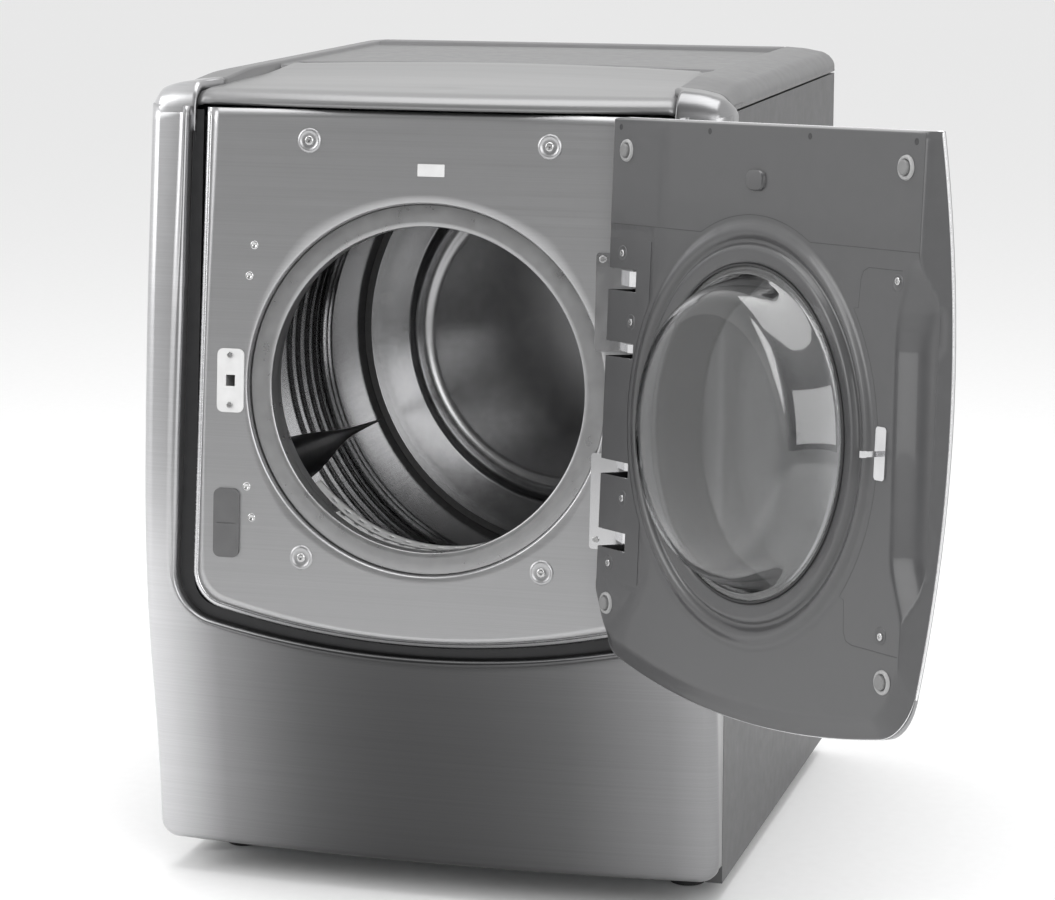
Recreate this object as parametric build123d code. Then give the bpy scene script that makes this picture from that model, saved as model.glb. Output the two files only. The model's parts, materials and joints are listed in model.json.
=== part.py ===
from build123d import *
import os
from math import acos, atan2, cos, radians, sin, tan

# ---------------------------------------------------------------- driving dimensions (mm)
# X is to the right, Y to the back and Z up. Shapes are drawn with y = 0 at the front of the side panels
# and z = 0 at the floor; every node is then moved so that the origin is the centre of the four feet.
HALF_CABINET = 357.5
CABINET_DEPTH = 683.7
CABINET_BOTTOM = 20.0
CABINET_TOP = 981.0
SHEET = 1.2
HALF_FRAME = 368.5
FRAME_WALL = 2.5
FRAME_CORNER = 16.0
FRAME_BOW = 22.0
# Side profile of the bulging front frame, as (height, y on the centre line).
FRONT_PROFILE = [(42, -97), (157, -104), (316, -125), (422, -131), (500, -129), (598, -121.5), (745, -106.5),
                 (892, -87), (981, -75)]
CAP_TOP = 1004.0

FOOT_X = 300.0
FOOT_FRONT_Y = 60.0
FOOT_REAR_Y = 620.0
FOOT_R = 22.0
STUD_R = 5.0
RUNNING_GAP = 0.05
PAN_Z = 22.0
PAN_SHEET = 1.5
PAN_RIM = 46.0

# The recessed front panel, the door opening and the closed door share one plane that leans back.
PANEL_TILT = 5.0
OPENING_Y = -94.2
OPENING_Z = 643.9
PANEL_TOP = 337.0
PANEL_DEEP = 10.0
PANEL_SKIN = 1.2
PANEL_BEVEL = 7.0
PANEL_HOLE_R = 230.2
RING_OUTER_R = 223.3
RING_INNER_R = 199.3
RING_SETBACK = 9.2
DIMPLES = [(151.8, 299.7), (-151.8, 299.7), (153.8, -213.5), (-153.8, -213.5)]
LATCH_U = -249.5
LATCH_SCREWS = [(-250, 33.5), (-250, -28.5)]
HINGE_SCREWS = [(221, 168.5), (221, -168.5)]
SPARE_HOLES = [(-221.5, 170.5), (-227, 132), (-227, -129.5), (-220.5, -167.5)]

# Drum, along its own axis from the centre of the door opening; the axis leans down to the back.
DRUM_TILT = 3.0
DRUM_R = 318.0
DRUM_WALL = 1.2
DRUM_FRONT = 60.0
DRUM_REAR = 742.0
RIB_DEPTH = 6.0
RIB_HALF = 9.0
RIB_PLACES = [118, 150, 182, 216, 250, 284, 400, 434, 470, 506, 542, 632, 656]
BULKHEAD_FRONT = 52.0
BULKHEAD_REAR = 748.0
BULKHEAD_SHEET = 1.5
NECK_R = 203.5
COLLAR_R = 307.0
SEAL_GAP = 0.4
LIFTER_ANGLES = [-153.0, -33.0, 87.0]
FILTER_HALF = 122.0
BELT_PLACE = 341.0
BELT_WIDE = 8.0
BELT_THICK = 2.0
MOTOR_X = -150.0
MOTOR_LOW = -450.0
PULLEY_R = 22.0
ROLLER_R = 27.0
ROLLER_ANGLES = [-125.0, -55.0]
DUCT_R = 50.8
DUCT_Z = 108.0
OUTLET_REAR = 705.0
CORD_HOLE_R = 11.1

# Door, in the panel's own axes while it is closed: u to the right, v up, n outwards.
DOOR_OPEN_DEG = 136.2
HINGE_U = 274.5
HINGE_N = 38.0
LINER_N = 6.5
DOOR_HALF = 299.0
DOOR_TOP = 337.0
DOOR_LOW_SIDE = -290.0
DOOR_LOW_MIDDLE = -325.0
DOOR_CORNER = 46.0
DOOR_SHEET = 2.5
DOOR_BOW = 20.0
WINDOW_V = -4.0
WINDOW_R = 187.5
BOWL_FACE_R = 152.0
BOWL_FACE_N = -42.0
OUTER_GLASS_R = 194.0
HINGE_PLATE = 1.8
ARMS_V = [(148.0, 9.0), (66.0, 5.0), (-74.0, 5.0), (-159.0, 7.0)]
PIN_R = 4.0
BUMPERS = [(267, 298.7), (-267, 298.7), (271, -235), (-271, -235)]
COVER_SCREWS = [(267, 179), (243, 100), (246, -107), (270, -187), (-263, 182), (-264, -188)]
FASCIA_V = 280.0
KNOB_R = 24.0
BUTTON_R = 9.0
BUTTON_TRAVEL = 2.0

panel_plane = Plane(origin=(0, OPENING_Y, OPENING_Z), x_dir=(1, 0, 0),
                    z_dir=(0, -cos(radians(PANEL_TILT)), sin(radians(PANEL_TILT))))
drum_pivot = Axis((0, OPENING_Y, OPENING_Z), (1, 0, 0))
hinge_point = panel_plane.from_local_coords(Vector(HINGE_U, 0, HINGE_N))
hinge_direction = Vector(sin(radians(0.4)), sin(radians(5.3)), 1.0).normalized()
hinge_axis = Axis(hinge_point, hinge_direction)


# ---------------------------------------------------------------- shared helpers
def on_panel(shape):
    """Moves a shape from the panel's own axes (u, v, n) into the cabinet."""
    return panel_plane.location * shape


def open_door(shape):
    """Turns a shape of the closed door about the hinge to the door's resting, open place."""
    return on_panel(shape).rotate(hinge_axis, DOOR_OPEN_DEG)


def tilt_drum(shape):
    """Leans a shape made about the level axis through the opening's centre down towards the back."""
    return shape.rotate(drum_pivot, -DRUM_TILT)


def box(x0, x1, y0, y1, z0, z1):
    return Pos((x0 + x1) / 2, (y0 + y1) / 2, (z0 + z1) / 2) * Box(x1 - x0, y1 - y0, z1 - z0)


def drum_box(x0, x1, s0, s1, h0, h1):
    """A box in the drum's axes: x across, s along the axis, h above it, before the lean."""
    return box(x0, x1, OPENING_Y + s0, OPENING_Y + s1, OPENING_Z + h0, OPENING_Z + h1)


def turned(points):
    """A solid of revolution about local Z from (radius, height) points."""
    return revolve(make_face(Polyline(*[(r, 0, h) for r, h in points], close=True)), Axis.Z)


def drum_turned(points, x=0.0, h=0.0):
    """A solid of revolution about a line parallel to the drum's axis, from (radius, s) points."""
    face = make_face(Polyline(*[(r, OPENING_Y + s, 0) for r, s in points], close=True))
    return Pos(x, 0, OPENING_Z + h) * revolve(face, Axis.Y)


def tube(inner, outer, s0, s1, x=0.0, h=0.0):
    return drum_turned([(inner, s0), (outer, s0), (outer, s1), (inner, s1)], x, h)


def rod(radius, s0, s1, x=0.0, h=0.0):
    return drum_turned([(0, s0), (radius, s0), (radius, s1), (0, s1)], x, h)


def disc(radius, n0, n1, u=0.0, v=0.0):
    """A round plug in local axes between two heights."""
    return Pos(u, v, (n0 + n1) / 2) * Cylinder(radius, n1 - n0)


def slab(width, height, radius, n0, n1, u=0.0, v=0.0):
    """A plate with rounded corners in local axes between two heights."""
    return Pos(u, v, n0) * extrude(RectangleRounded(width, height, radius), n1 - n0)


def block(u0, u1, v0, v1, n0, n1):
    return box(u0, u1, v0, v1, n0, n1)


def pan_screw(head_r, head_h, shank_r, shank_l):
    """A pan-head screw with a cross recess, its head's underside at local z = 0."""
    head = disc(head_r, 0, head_h)
    head = fillet(head.edges().sort_by(Axis.Z)[-1], head_h * 0.5)
    slot = Pos(0, 0, head_h) * Box(head_r * 1.1, head_r * 0.28, head_h)
    return head - slot - slot.rotate(Axis.Z, 90) + disc(shank_r, -shank_l, 0)


def group(shapes):
    """Separate solids kept together in one node."""
    solids = []
    for shape in shapes:
        solids.extend(shape.solids())
    return Compound(children=solids)


def save(name, shape):
    centred = Pos(0, -(FOOT_FRONT_Y + FOOT_REAR_Y) / 2, 0) * shape
    solids = centred.solids()
    result = solids[0] if len(solids) == 1 else Compound(children=solids)
    result.label = name
    export_step(result, os.path.join("parts", name + ".step"))


# ---------------------------------------------------------------- cabinet shell
def front_section(height, centre_y, inset, back):
    """One level cross-section of the front frame's form, moved in by its wall."""
    half_back = HALF_CABINET - inset
    half_wide = HALF_FRAME - inset
    near = centre_y + inset
    corner_y = near + FRAME_BOW
    outline = [Line((-half_back, back, height), (-half_wide, corner_y, height)),
               ThreePointArc((-half_wide, corner_y, height), (0, near, height), (half_wide, corner_y, height)),
               Line((half_wide, corner_y, height), (half_back, back, height)),
               Line((half_back, back, height), (-half_back, back, height))]
    face = make_face(outline)
    return fillet(face.vertices().group_by(Axis.Y)[0], FRAME_CORNER - inset)


def recess_outline(top, half_top, half_bottom, low_side, low_middle, corner):
    """The U-shaped outline of the recess: nearly straight sides, round corners, sagging lower edge."""
    face = make_face([Line((-half_top, top), (-half_bottom, low_side)),
                      ThreePointArc((-half_bottom, low_side), (0, low_middle), (half_bottom, low_side)),
                      Line((half_bottom, low_side), (half_top, top)),
                      Line((half_top, top), (-half_top, top))])
    low_corners = face.vertices().sort_by(Axis.Y)[0:2]
    return fillet(low_corners, corner)


def make_front_frame():
    outer = loft([front_section(z, y, 0, -2) for z, y in FRONT_PROFILE])
    inner = loft([front_section(z, y, FRAME_WALL, 1) for z, y in FRONT_PROFILE])
    inner = inner & box(-400, 400, -200, 50, 42 + FRAME_WALL, CABINET_TOP - FRAME_WALL)
    frame = outer - inner
    cap_low = front_section(CABINET_TOP, -75, 0, -2)
    cap_high = front_section(CAP_TOP, -66, 6, -2)
    caps = loft([cap_low, cap_high])
    frame = frame + caps
    recess = Pos(0, 0, -95) * extrude(recess_outline(450, 307, 319.5, -290, -329, 50), 190)
    frame = on_panel(panel_plane.location.inverse() * frame - recess)
    return frame


def make_recess_channel():
    outer = recess_outline(334, 306.6, 319.0, -289.5, -328.5, 49.5)
    inner = recess_outline(360, 292.6, 298.1, -275, -315, 36)
    return on_panel(Pos(0, 0, -14) * extrude(outer, 5) - Pos(0, 0, -20) * extrude(inner, 20))


def make_front_panel():
    outline = recess_outline(PANEL_TOP, 292, 297.5, -274, -314, 36)
    body = Pos(0, 0, -PANEL_DEEP) * extrude(outline, PANEL_DEEP)
    body = chamfer(body.faces().sort_by(Axis.Z)[-1].edges(), PANEL_BEVEL)
    under = recess_outline(PANEL_TOP - 9, 283, 288.5, -265, -305, 30)
    body = body - Pos(0, 0, -PANEL_DEEP - 1) * extrude(under, PANEL_DEEP + 1 - PANEL_SKIN)
    for u, v in DIMPLES:
        cup = disc(15, -5, -1, u, v) + disc(11.5, -1, 0, u, v)
        body = body + cup
        body = body - disc(11.5, -3.2, 1, u, v) - disc(2.3, -6, 1, u, v)
    body = body - disc(PANEL_HOLE_R, -20, 20) - slab(14, 18, 2, -20, 20, LATCH_U, 2)
    for u, v in LATCH_SCREWS + HINGE_SCREWS + SPARE_HOLES:
        body = body - disc(2.3, -20, 20, u, v)
    return on_panel(body)


def make_opening_ring():
    back = -RING_SETBACK - 1.2
    points = [(RING_INNER_R, -28), (RING_INNER_R, -RING_SETBACK - 3), (RING_INNER_R + 3, -RING_SETBACK),
              (RING_OUTER_R - 3, -RING_SETBACK), (RING_OUTER_R, -RING_SETBACK - 3), (RING_OUTER_R, -14),
              (232, -14), (232, -PANEL_SKIN), (240, -PANEL_SKIN), (240, -PANEL_SKIN - 1.2),
              (233.4, -PANEL_SKIN - 1.2), (233.4, -15.4), (RING_OUTER_R - 1.4, -15.4),
              (RING_OUTER_R - 1.4, -RING_SETBACK - 3.6), (RING_OUTER_R - 3.6, back), (RING_INNER_R + 3.6, back),
              (RING_INNER_R + 1.2, -RING_SETBACK - 3.6), (RING_INNER_R + 1.2, -28)]
    return on_panel(turned(points))


def make_side_panel(side):
    x_out = side * HALF_CABINET
    x_in = side * (HALF_CABINET - SHEET)
    x_flange = side * (HALF_CABINET - 22)
    skin = box(min(x_out, x_in), max(x_out, x_in), 0, CABINET_DEPTH, CABINET_BOTTOM, CABINET_TOP)
    low, high = min(x_flange, x_in), max(x_flange, x_in)
    skin = skin + box(low, high, 0, SHEET, CABINET_BOTTOM, CABINET_TOP)
    skin = skin + box(low, high, 0, CABINET_DEPTH - 4, CABINET_TOP - SHEET, CABINET_TOP)
    skin = skin + box(low, high, 0, CABINET_DEPTH - 4, CABINET_BOTTOM, CABINET_BOTTOM + SHEET)
    return skin


def make_rear_panel():
    half = HALF_CABINET - SHEET - 0.2
    rear = CABINET_DEPTH
    plate = box(-half, half, rear - SHEET, rear, CABINET_BOTTOM + 4, CABINET_TOP)
    cover = Plane(origin=(0, rear - SHEET, 610), x_dir=(1, 0, 0), z_dir=(0, 1, 0))
    dish = cover.location * loft([Circle(262), Pos(0, 0, 14) * Circle(246)])
    hollow = cover.location * loft([Pos(0, 0, -1) * Circle(260.6), Pos(0, 0, 12.6) * Circle(244.6)])
    plate = plate + dish - hollow
    port = Plane(origin=(0, rear - 5, DUCT_Z), x_dir=(1, 0, 0), z_dir=(0, 1, 0))
    plate = plate - port.location * Pos(0, 0, 5) * Cylinder(DUCT_R - 0.4, 10)
    for row in range(7):
        z = 110 + 16 * row
        for centre in (-220, 220):
            plate = plate - box(centre - 60, centre + 60, rear - 5, rear + 5, z, z + 5)
    return plate


def make_base_pan():
    half = HALF_CABINET - SHEET - 0.4
    pan = box(-half, half, 2, CABINET_DEPTH - SHEET - 0.2, PAN_Z, PAN_Z + PAN_SHEET)
    pan = pan + box(-half, half, 2, 3.5, PAN_Z, PAN_RIM)
    pan = pan + box(-half, half, CABINET_DEPTH - SHEET - 1.7, CABINET_DEPTH - SHEET - 0.2, PAN_Z, PAN_RIM)
    pan = pan + box(-half, 3 - half, 2, CABINET_DEPTH - 3, PAN_Z, PAN_RIM)
    pan = pan + box(half - 3, half, 2, CABINET_DEPTH - 3, PAN_Z, PAN_RIM)
    for x, y in foot_places():
        pan = pan + Pos(x, y, PAN_Z + 9) * Cylinder(11, 18)
    for x, y in foot_places():
        pan = pan - Pos(x, y, PAN_Z + 9) * Cylinder(STUD_R + RUNNING_GAP, 40)
    return pan


def foot_places():
    return [(x, y) for x in (-FOOT_X, FOOT_X) for y in (FOOT_FRONT_Y, FOOT_REAR_Y)]


def make_foot(x, y):
    pad = Pos(0, 0, 4) * Cylinder(FOOT_R, 8)
    pad = chamfer(pad.edges().sort_by(Axis.Z)[-1], 2)
    nut = Pos(0, 0, 8) * extrude(RegularPolygon(10, 6), 6)
    stud = Pos(0, 0, 14) * extrude(Circle(STUD_R), 32)
    return Pos(x, y, 0) * (pad + nut + stud)


def lip_plan(front_half, back_half, front_y, back_y, front_middle, back_middle):
    """Plan outline of the lip that covers the front of the top."""
    return make_face([Line((-back_half, back_y), (-front_half, front_y)),
                      ThreePointArc((-front_half, front_y), (0, front_middle), (front_half, front_y)),
                      Line((front_half, front_y), (back_half, back_y)),
                      ThreePointArc((back_half, back_y), (0, back_middle), (-back_half, back_y))])


def lip_profile(drop):
    """Side profile of the lip, pushed down by its wall to form the hollow beneath it."""
    points = [(-100, 960), (-68, 984 - drop), (-62, 990 - drop), (60, 1000 - drop), (150, 1005 - drop),
              (300, 1015 - drop), (300, 960)]
    face = make_face(Polyline(*[(0, y, z) for y, z in points], close=True))
    return Pos(-400, 0, 0) * extrude(face, 800, dir=(1, 0, 0))


def make_top_lip():
    outer = Pos(0, 0, 983) * extrude(lip_plan(302, 280, -50, 205, -68, 288), 60)
    inner = Pos(0, 0, 970) * extrude(lip_plan(299, 277, -47, 202, -65, 285), 60)
    return (outer & lip_profile(0)) - (inner & lip_profile(3))


def top_section(drop, inset):
    """Cross-section of the top cover: round outer rails and a shallow middle."""
    half = HALF_CABINET - inset
    top = 1017 - drop
    points = [(-half, 981 if drop == 0 else 970), (-half, 997), (-343 + inset * 0.7, 1010 - drop), (-290, top),
              (-286, top - 4), (0, top - 2)]
    right = [(-x, z) for x, z in reversed(points[:-1])]
    face = make_face(Polyline(*[(x, 0, z) for x, z in points + right], close=True))
    return Pos(0, 3, 0) * extrude(face, CABINET_DEPTH - 3, dir=(0, 1, 0))


def make_top_cover():
    outer = top_section(0, 0)
    inner = top_section(3, 3) & box(-400, 400, 6, CABINET_DEPTH - 3, 960, 1050)
    rear_rail = box(-289, 289, 616, CABINET_DEPTH, 1008, 1017)
    cover = outer - inner + rear_rail
    lip_room = Pos(0, 0, 940) * extrude(lip_plan(303, 281, -52, 206.5, -70, 290), 120)
    return cover - lip_room


# ---------------------------------------------------------------- drum and its supports
def drum_profile(radius):
    """Points along the drum's wall, with ribs pressed inwards, at one radius offset."""
    points = [(radius, DRUM_FRONT)]
    for place in RIB_PLACES:
        points += [(radius, place - RIB_HALF), (radius - RIB_DEPTH, place - RIB_HALF / 2),
                   (radius - RIB_DEPTH, place + RIB_HALF / 2), (radius, place + RIB_HALF)]
    points.append((radius, DRUM_REAR))
    return points


def make_drum():
    inner = drum_profile(DRUM_R)
    outer = drum_profile(DRUM_R + DRUM_WALL)
    return tilt_drum(drum_turned(inner + outer[::-1]))


def make_lifters():
    """Wedge-shaped lifters that taper down to the back, seated on the drum's ribs."""
    seat = DRUM_R - RIB_DEPTH - 0.4
    lifters = []
    for angle in LIFTER_ANGLES:
        stations = [(105, 54, 58), (300, 50, 62), (480, 30, 36), (690, 8, 10)]
        sections = []
        for s, height, width in stations:
            half = width / 2
            crest = half * 0.35
            ring = [(-half, s, seat - 2), (-crest, s, seat - height), (crest, s, seat - height),
                    (half, s, seat - 2), (half, s, seat + 20), (-half, s, seat + 20)]
            sections.append(make_face(Polyline(*ring, close=True)))
        wedge = loft(sections, ruled=True)
        limit = Pos(0, 400, 0) * Cylinder(seat, 900, rotation=(90, 0, 0))
        wedge = (wedge & limit).rotate(Axis.Y, 90 - angle)
        lifters.append(Pos(0, OPENING_Y, OPENING_Z) * wedge)
    return group([tilt_drum(lifter) for lifter in lifters])


def make_front_bulkhead():
    s0 = BULKHEAD_FRONT
    s1 = s0 + BULKHEAD_SHEET
    plate = drum_box(-350, 350, s0, s1, -425, 325)
    plate = plate + drum_box(-262, 130, s0, s1, -548, -420)
    plate = plate + tube(COLLAR_R - 1.2, COLLAR_R, s1 - 0.5, 78)
    plate = plate + tube(NECK_R, NECK_R + 1.2, 36, s0 + 0.5) - rod(NECK_R, 0, 100)
    plate = plate - drum_box(-FILTER_HALF - 3, FILTER_HALF + 3, 20, s0, -260, -100)
    plate = plate - drum_box(-98, 98, s0 - 5, s0 + 10, -296, -222)
    plate = plate - rod(60, s0 - 5, s0 + 10, MOTOR_X, MOTOR_LOW)
    plate = tilt_drum(plate)
    for side in (-1, 1):
        web = make_face(Polyline((0, -0.3, 220), (0, -0.3, 955), (0, -26, 955), (0, -62, 220), close=True))
        plate = plate + Pos(side * 347, 0, 0) * extrude(web, 1.5, dir=(side, 0, 0))
    return plate


def make_rear_bulkhead():
    s0 = BULKHEAD_REAR
    s1 = s0 + BULKHEAD_SHEET
    plate = drum_box(-350, 350, s0, s1, -335, 335) - rod(240, s0 - 5, s1 + 5)
    dish = [(241, s1), (232, 724), (226, 720), (0, 720), (0, 718.5), (227, 718.5), (233.5, 722.8), (243, s0),
            (250, s0), (250, s1)]
    plate = plate + drum_turned(dish) + tube(COLLAR_R - 1.2, COLLAR_R, 722, s0 + 0.5)
    for index in range(24):
        hole = rod(7, s0 - 5, s1 + 5, 275, 0).rotate(Axis((0, 0, OPENING_Z), (0, 1, 0)), index * 15)
        plate = plate - hole
    plate = tilt_drum(plate)
    for side in (-1, 1):
        plate = plate + box(min(side * 330, side * 350), max(side * 330, side * 350), 636, 639, PAN_Z + PAN_SHEET, 330)
    return plate


def make_drum_seals():
    outer = DRUM_R - SEAL_GAP
    front = tube(COLLAR_R, outer, DRUM_FRONT - 3, DRUM_FRONT + 14)
    rear = tube(COLLAR_R, outer, 724, 744)
    return group([tilt_drum(front), tilt_drum(rear)])


def arc_wall(inner, outer, half_deg, s0, s1):
    """Part of a tube, centred on the bottom of the drum."""
    sector = make_face(Polyline((0, 0), (-400 * tan(radians(half_deg)), -400), (400 * tan(radians(half_deg)), -400),
                                close=True))
    wedge = Plane(origin=(0, OPENING_Y + s0 - 1, OPENING_Z), x_dir=(1, 0, 0), z_dir=(0, -1, 0)).location
    prism = wedge * extrude(sector, -(s1 - s0 + 2))
    return tube(inner, outer, s0, s1) & prism


def make_lint_grille():
    """Perforated cover over the lint duct, standing into the drum's mouth below the opening."""
    shelf = arc_wall(205.5, 207.5, 42, 54, 92)
    face = arc_wall(205.5, 300, 42, 90, 92)
    low = arc_wall(298, 300, 42, 53.5, 92)
    grille = shelf + face + low
    for side in (-1, 1):
        cheek = Pos(0, 0, OPENING_Z) * box(-1, 1, OPENING_Y + 54, OPENING_Y + 92, -299.5, -205.8)
        grille = grille + cheek.rotate(Axis((0, 0, OPENING_Z), (0, 1, 0)), side * 41.5)
    for index in range(13):
        hole = drum_box(-3, 3, 62, 84, -220, -190)
        back = drum_box(-4, 4, 80, 100, -285, -225)
        turn = (index - 6) * 6.0
        spin = Axis((0, 0, OPENING_Z), (0, 1, 0))
        grille = grille - hole.rotate(spin, turn) - back.rotate(spin, turn)
    return tilt_drum(grille)


def make_moisture_bars():
    bars = [slab(74, 7, 3, 0, 5, 0, -8), slab(74, 7, 3, 0, 5, 0, 8)]
    place = Plane(origin=(205, OPENING_Y + BULKHEAD_FRONT + BULKHEAD_SHEET, OPENING_Z - 143), x_dir=(0.57, 0, 0.82),
                  z_dir=(0, 1, 0)).location
    return group([tilt_drum(place * bar) for bar in bars])


def make_drum_lamp():
    s0 = BULKHEAD_FRONT + BULKHEAD_SHEET
    lens = drum_turned([(0, s0), (20, s0), (18, s0 + 9), (12, s0 + 13), (0, s0 + 14)], 105, 225)
    return tilt_drum(lens)


def make_lint_duct():
    s0 = 29.0
    s1 = BULKHEAD_FRONT
    wide = FILTER_HALF + 3.5
    low = -528.0
    outer = drum_box(-wide, wide, s0, s1, low, -150) + drum_box(-255, wide, s0 + 9, s1, low, -380)
    inner = drum_box(1.5 - wide, wide - 1.5, s0 + 1.5, s1 + 1, low + 1.5, -140)
    inner = inner + drum_box(-253.5, wide - 1.5, s0 + 10.5, s1 + 1, low + 1.5, -381.5)
    return tilt_drum(outer - inner - rod(NECK_R + 2, 0, 100))


def make_lint_filter():
    half = FILTER_HALF
    frame = drum_box(-half, half, 34, 46, -395, -120)
    hole = drum_box(14 - half, half - 14, 30, 50, -381, -238)
    frame = frame - hole - rod(205.5, 0, 100)
    for step in range(1, 6):
        x = -half + 14 + step * (2 * half - 28) / 6
        frame = frame + drum_box(x - 1.5, x + 1.5, 38, 42, -382, -237)
    mesh = drum_box(13 - half, half - 13, 39.4, 40.6, -382, -237)
    frame = frame + mesh
    grip = drum_box(-34, 34, 36.5, 43.5, -222, -211)
    return tilt_drum(frame - grip)


def make_roller(angle):
    reach = DRUM_R + DRUM_WALL + 0.35 + ROLLER_R
    x = reach * cos(radians(angle))
    h = reach * sin(radians(angle))
    tyre = tube(6 + RUNNING_GAP, ROLLER_R, 698, 720, x, h)
    groove = tube(15, 22, 697, 701, x, h)
    return tilt_drum(tyre - groove)


def make_roller_axles():
    reach = DRUM_R + DRUM_WALL + 0.35 + ROLLER_R
    axles = []
    for angle in ROLLER_ANGLES:
        x = reach * cos(radians(angle))
        h = reach * sin(radians(angle))
        axle = rod(6, 690, BULKHEAD_REAR, x, h) + rod(10, 690, 695, x, h) + rod(12, 723, BULKHEAD_REAR, x, h)
        axles.append(tilt_drum(axle))
    return group(axles)


# ---------------------------------------------------------------- motor, blower and belt
def make_blower_housing():
    shell = rod(92, 66, 150, MOTOR_X, MOTOR_LOW) + drum_box(MOTOR_X, -66, 66, 150, -584, MOTOR_LOW)
    hollow = rod(90.5, 67.5, 148.5, MOTOR_X, MOTOR_LOW)
    hollow = hollow + drum_box(MOTOR_X, -60, 67.5, 148.5, -582.5, MOTOR_LOW - 1.5)
    shell = shell - hollow
    shell = shell + tube(62, 64, BULKHEAD_FRONT + BULKHEAD_SHEET, 66.5, MOTOR_X, MOTOR_LOW)
    shell = shell - rod(62, 50, 68, MOTOR_X, MOTOR_LOW) - rod(10, 140, 160, MOTOR_X, MOTOR_LOW)
    return tilt_drum(shell)


def make_rotor():
    """Motor shaft with its rotor, the drum pulley behind and the blower wheel in front."""
    rotor = rod(6, 100, 350, MOTOR_X, MOTOR_LOW)
    rotor = rotor + rod(38, 212, 278, MOTOR_X, MOTOR_LOW)
    rotor = rotor + tube(5, PULLEY_R, BELT_PLACE - 7, BELT_PLACE + 7, MOTOR_X, MOTOR_LOW)
    rotor = rotor + tube(5, PULLEY_R + 4, BELT_PLACE + 7, BELT_PLACE + 9, MOTOR_X, MOTOR_LOW)
    rotor = rotor + tube(5, 78, 134, 136, MOTOR_X, MOTOR_LOW) + tube(5, 14, 110, 135, MOTOR_X, MOTOR_LOW)
    rotor = rotor + tube(62, 78, 78, 80, MOTOR_X, MOTOR_LOW)
    spin = Axis((MOTOR_X, 0, OPENING_Z + MOTOR_LOW), (0, 1, 0))
    for index in range(18):
        vane = drum_box(MOTOR_X + 63, MOTOR_X + 77, 79, 135, MOTOR_LOW - 0.8, MOTOR_LOW + 0.8)
        rotor = rotor + vane.rotate(spin, index * 20)
    return tilt_drum(rotor)


def make_motor():
    """Motor frame with two bearing bells and a foot that stands on the base pan."""
    frame = tube(41, 60, 200, 290, MOTOR_X, MOTOR_LOW)
    frame = frame + tube(6 + RUNNING_GAP, 60, 196, 200.5, MOTOR_X, MOTOR_LOW)
    frame = frame + tube(6 + RUNNING_GAP, 60, 289.5, 294, MOTOR_X, MOTOR_LOW)
    frame = frame + tube(6 + RUNNING_GAP, 14, 294, 306, MOTOR_X, MOTOR_LOW)
    frame = tilt_drum(frame)
    foot = box(MOTOR_X - 50, MOTOR_X - 30, 115, 185, PAN_Z + PAN_SHEET, 150)
    foot = foot + box(MOTOR_X + 30, MOTOR_X + 50, 115, 185, PAN_Z + PAN_SHEET, 150)
    foot = foot + box(MOTOR_X - 60, MOTOR_X + 60, 110, 190, PAN_Z + PAN_SHEET, PAN_Z + PAN_SHEET + 6)
    return frame + (foot - tilt_drum(rod(59, 180, 310, MOTOR_X, MOTOR_LOW)))


def tangent_points(radius_a, radius_b, side):
    """Where a straight belt run leaves the drum and meets the motor pulley."""
    gap = (MOTOR_X ** 2 + MOTOR_LOW ** 2) ** 0.5
    heading = atan2(MOTOR_LOW, MOTOR_X)
    turn = heading + side * acos((radius_a - radius_b) / gap)
    start = (radius_a * cos(turn), radius_a * sin(turn))
    finish = (MOTOR_X + radius_b * cos(turn), MOTOR_LOW + radius_b * sin(turn))
    return start, finish, turn


def belt_face(extra):
    """The region inside a belt stretched round the drum and the motor pulley."""
    radius_a = DRUM_R + DRUM_WALL + extra
    radius_b = PULLEY_R + extra
    left_a, left_b, _ = tangent_points(radius_a, radius_b, -1)
    right_a, right_b, _ = tangent_points(radius_a, radius_b, 1)
    middle = make_face(Polyline(left_a, left_b, (MOTOR_X, MOTOR_LOW), right_b, right_a, (0, 0), close=True))
    return Circle(radius_a) + Pos(MOTOR_X, MOTOR_LOW) * Circle(radius_b) + middle


def make_belt():
    wall = belt_face(0.4 + BELT_THICK) - belt_face(0.4)
    place = Plane(origin=(0, OPENING_Y + BELT_PLACE + BELT_WIDE / 2, OPENING_Z), x_dir=(1, 0, 0), z_dir=(0, -1, 0))
    return tilt_drum(place.location * extrude(wall, BELT_WIDE))


def idler_places():
    """Centre of the idler pulley against the belt's left run, and of the arm's pivot."""
    start, finish, turn = tangent_points(DRUM_R + DRUM_WALL + 0.4 + BELT_THICK, PULLEY_R + 0.4 + BELT_THICK, -1)
    share = 0.62
    reach = 18 + 0.35
    x = start[0] + share * (finish[0] - start[0]) + reach * cos(turn)
    h = start[1] + share * (finish[1] - start[1]) + reach * sin(turn)
    return (x, h), (x - 6, h - 78)


def make_idler_pulley():
    (x, h), _ = idler_places()
    wheel = tube(4 + RUNNING_GAP, 18, BELT_PLACE - 6, BELT_PLACE + 6, x, h)
    rim = tube(17, 21, BELT_PLACE + 6, BELT_PLACE + 8, x, h)
    return tilt_drum(wheel + rim)


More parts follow.
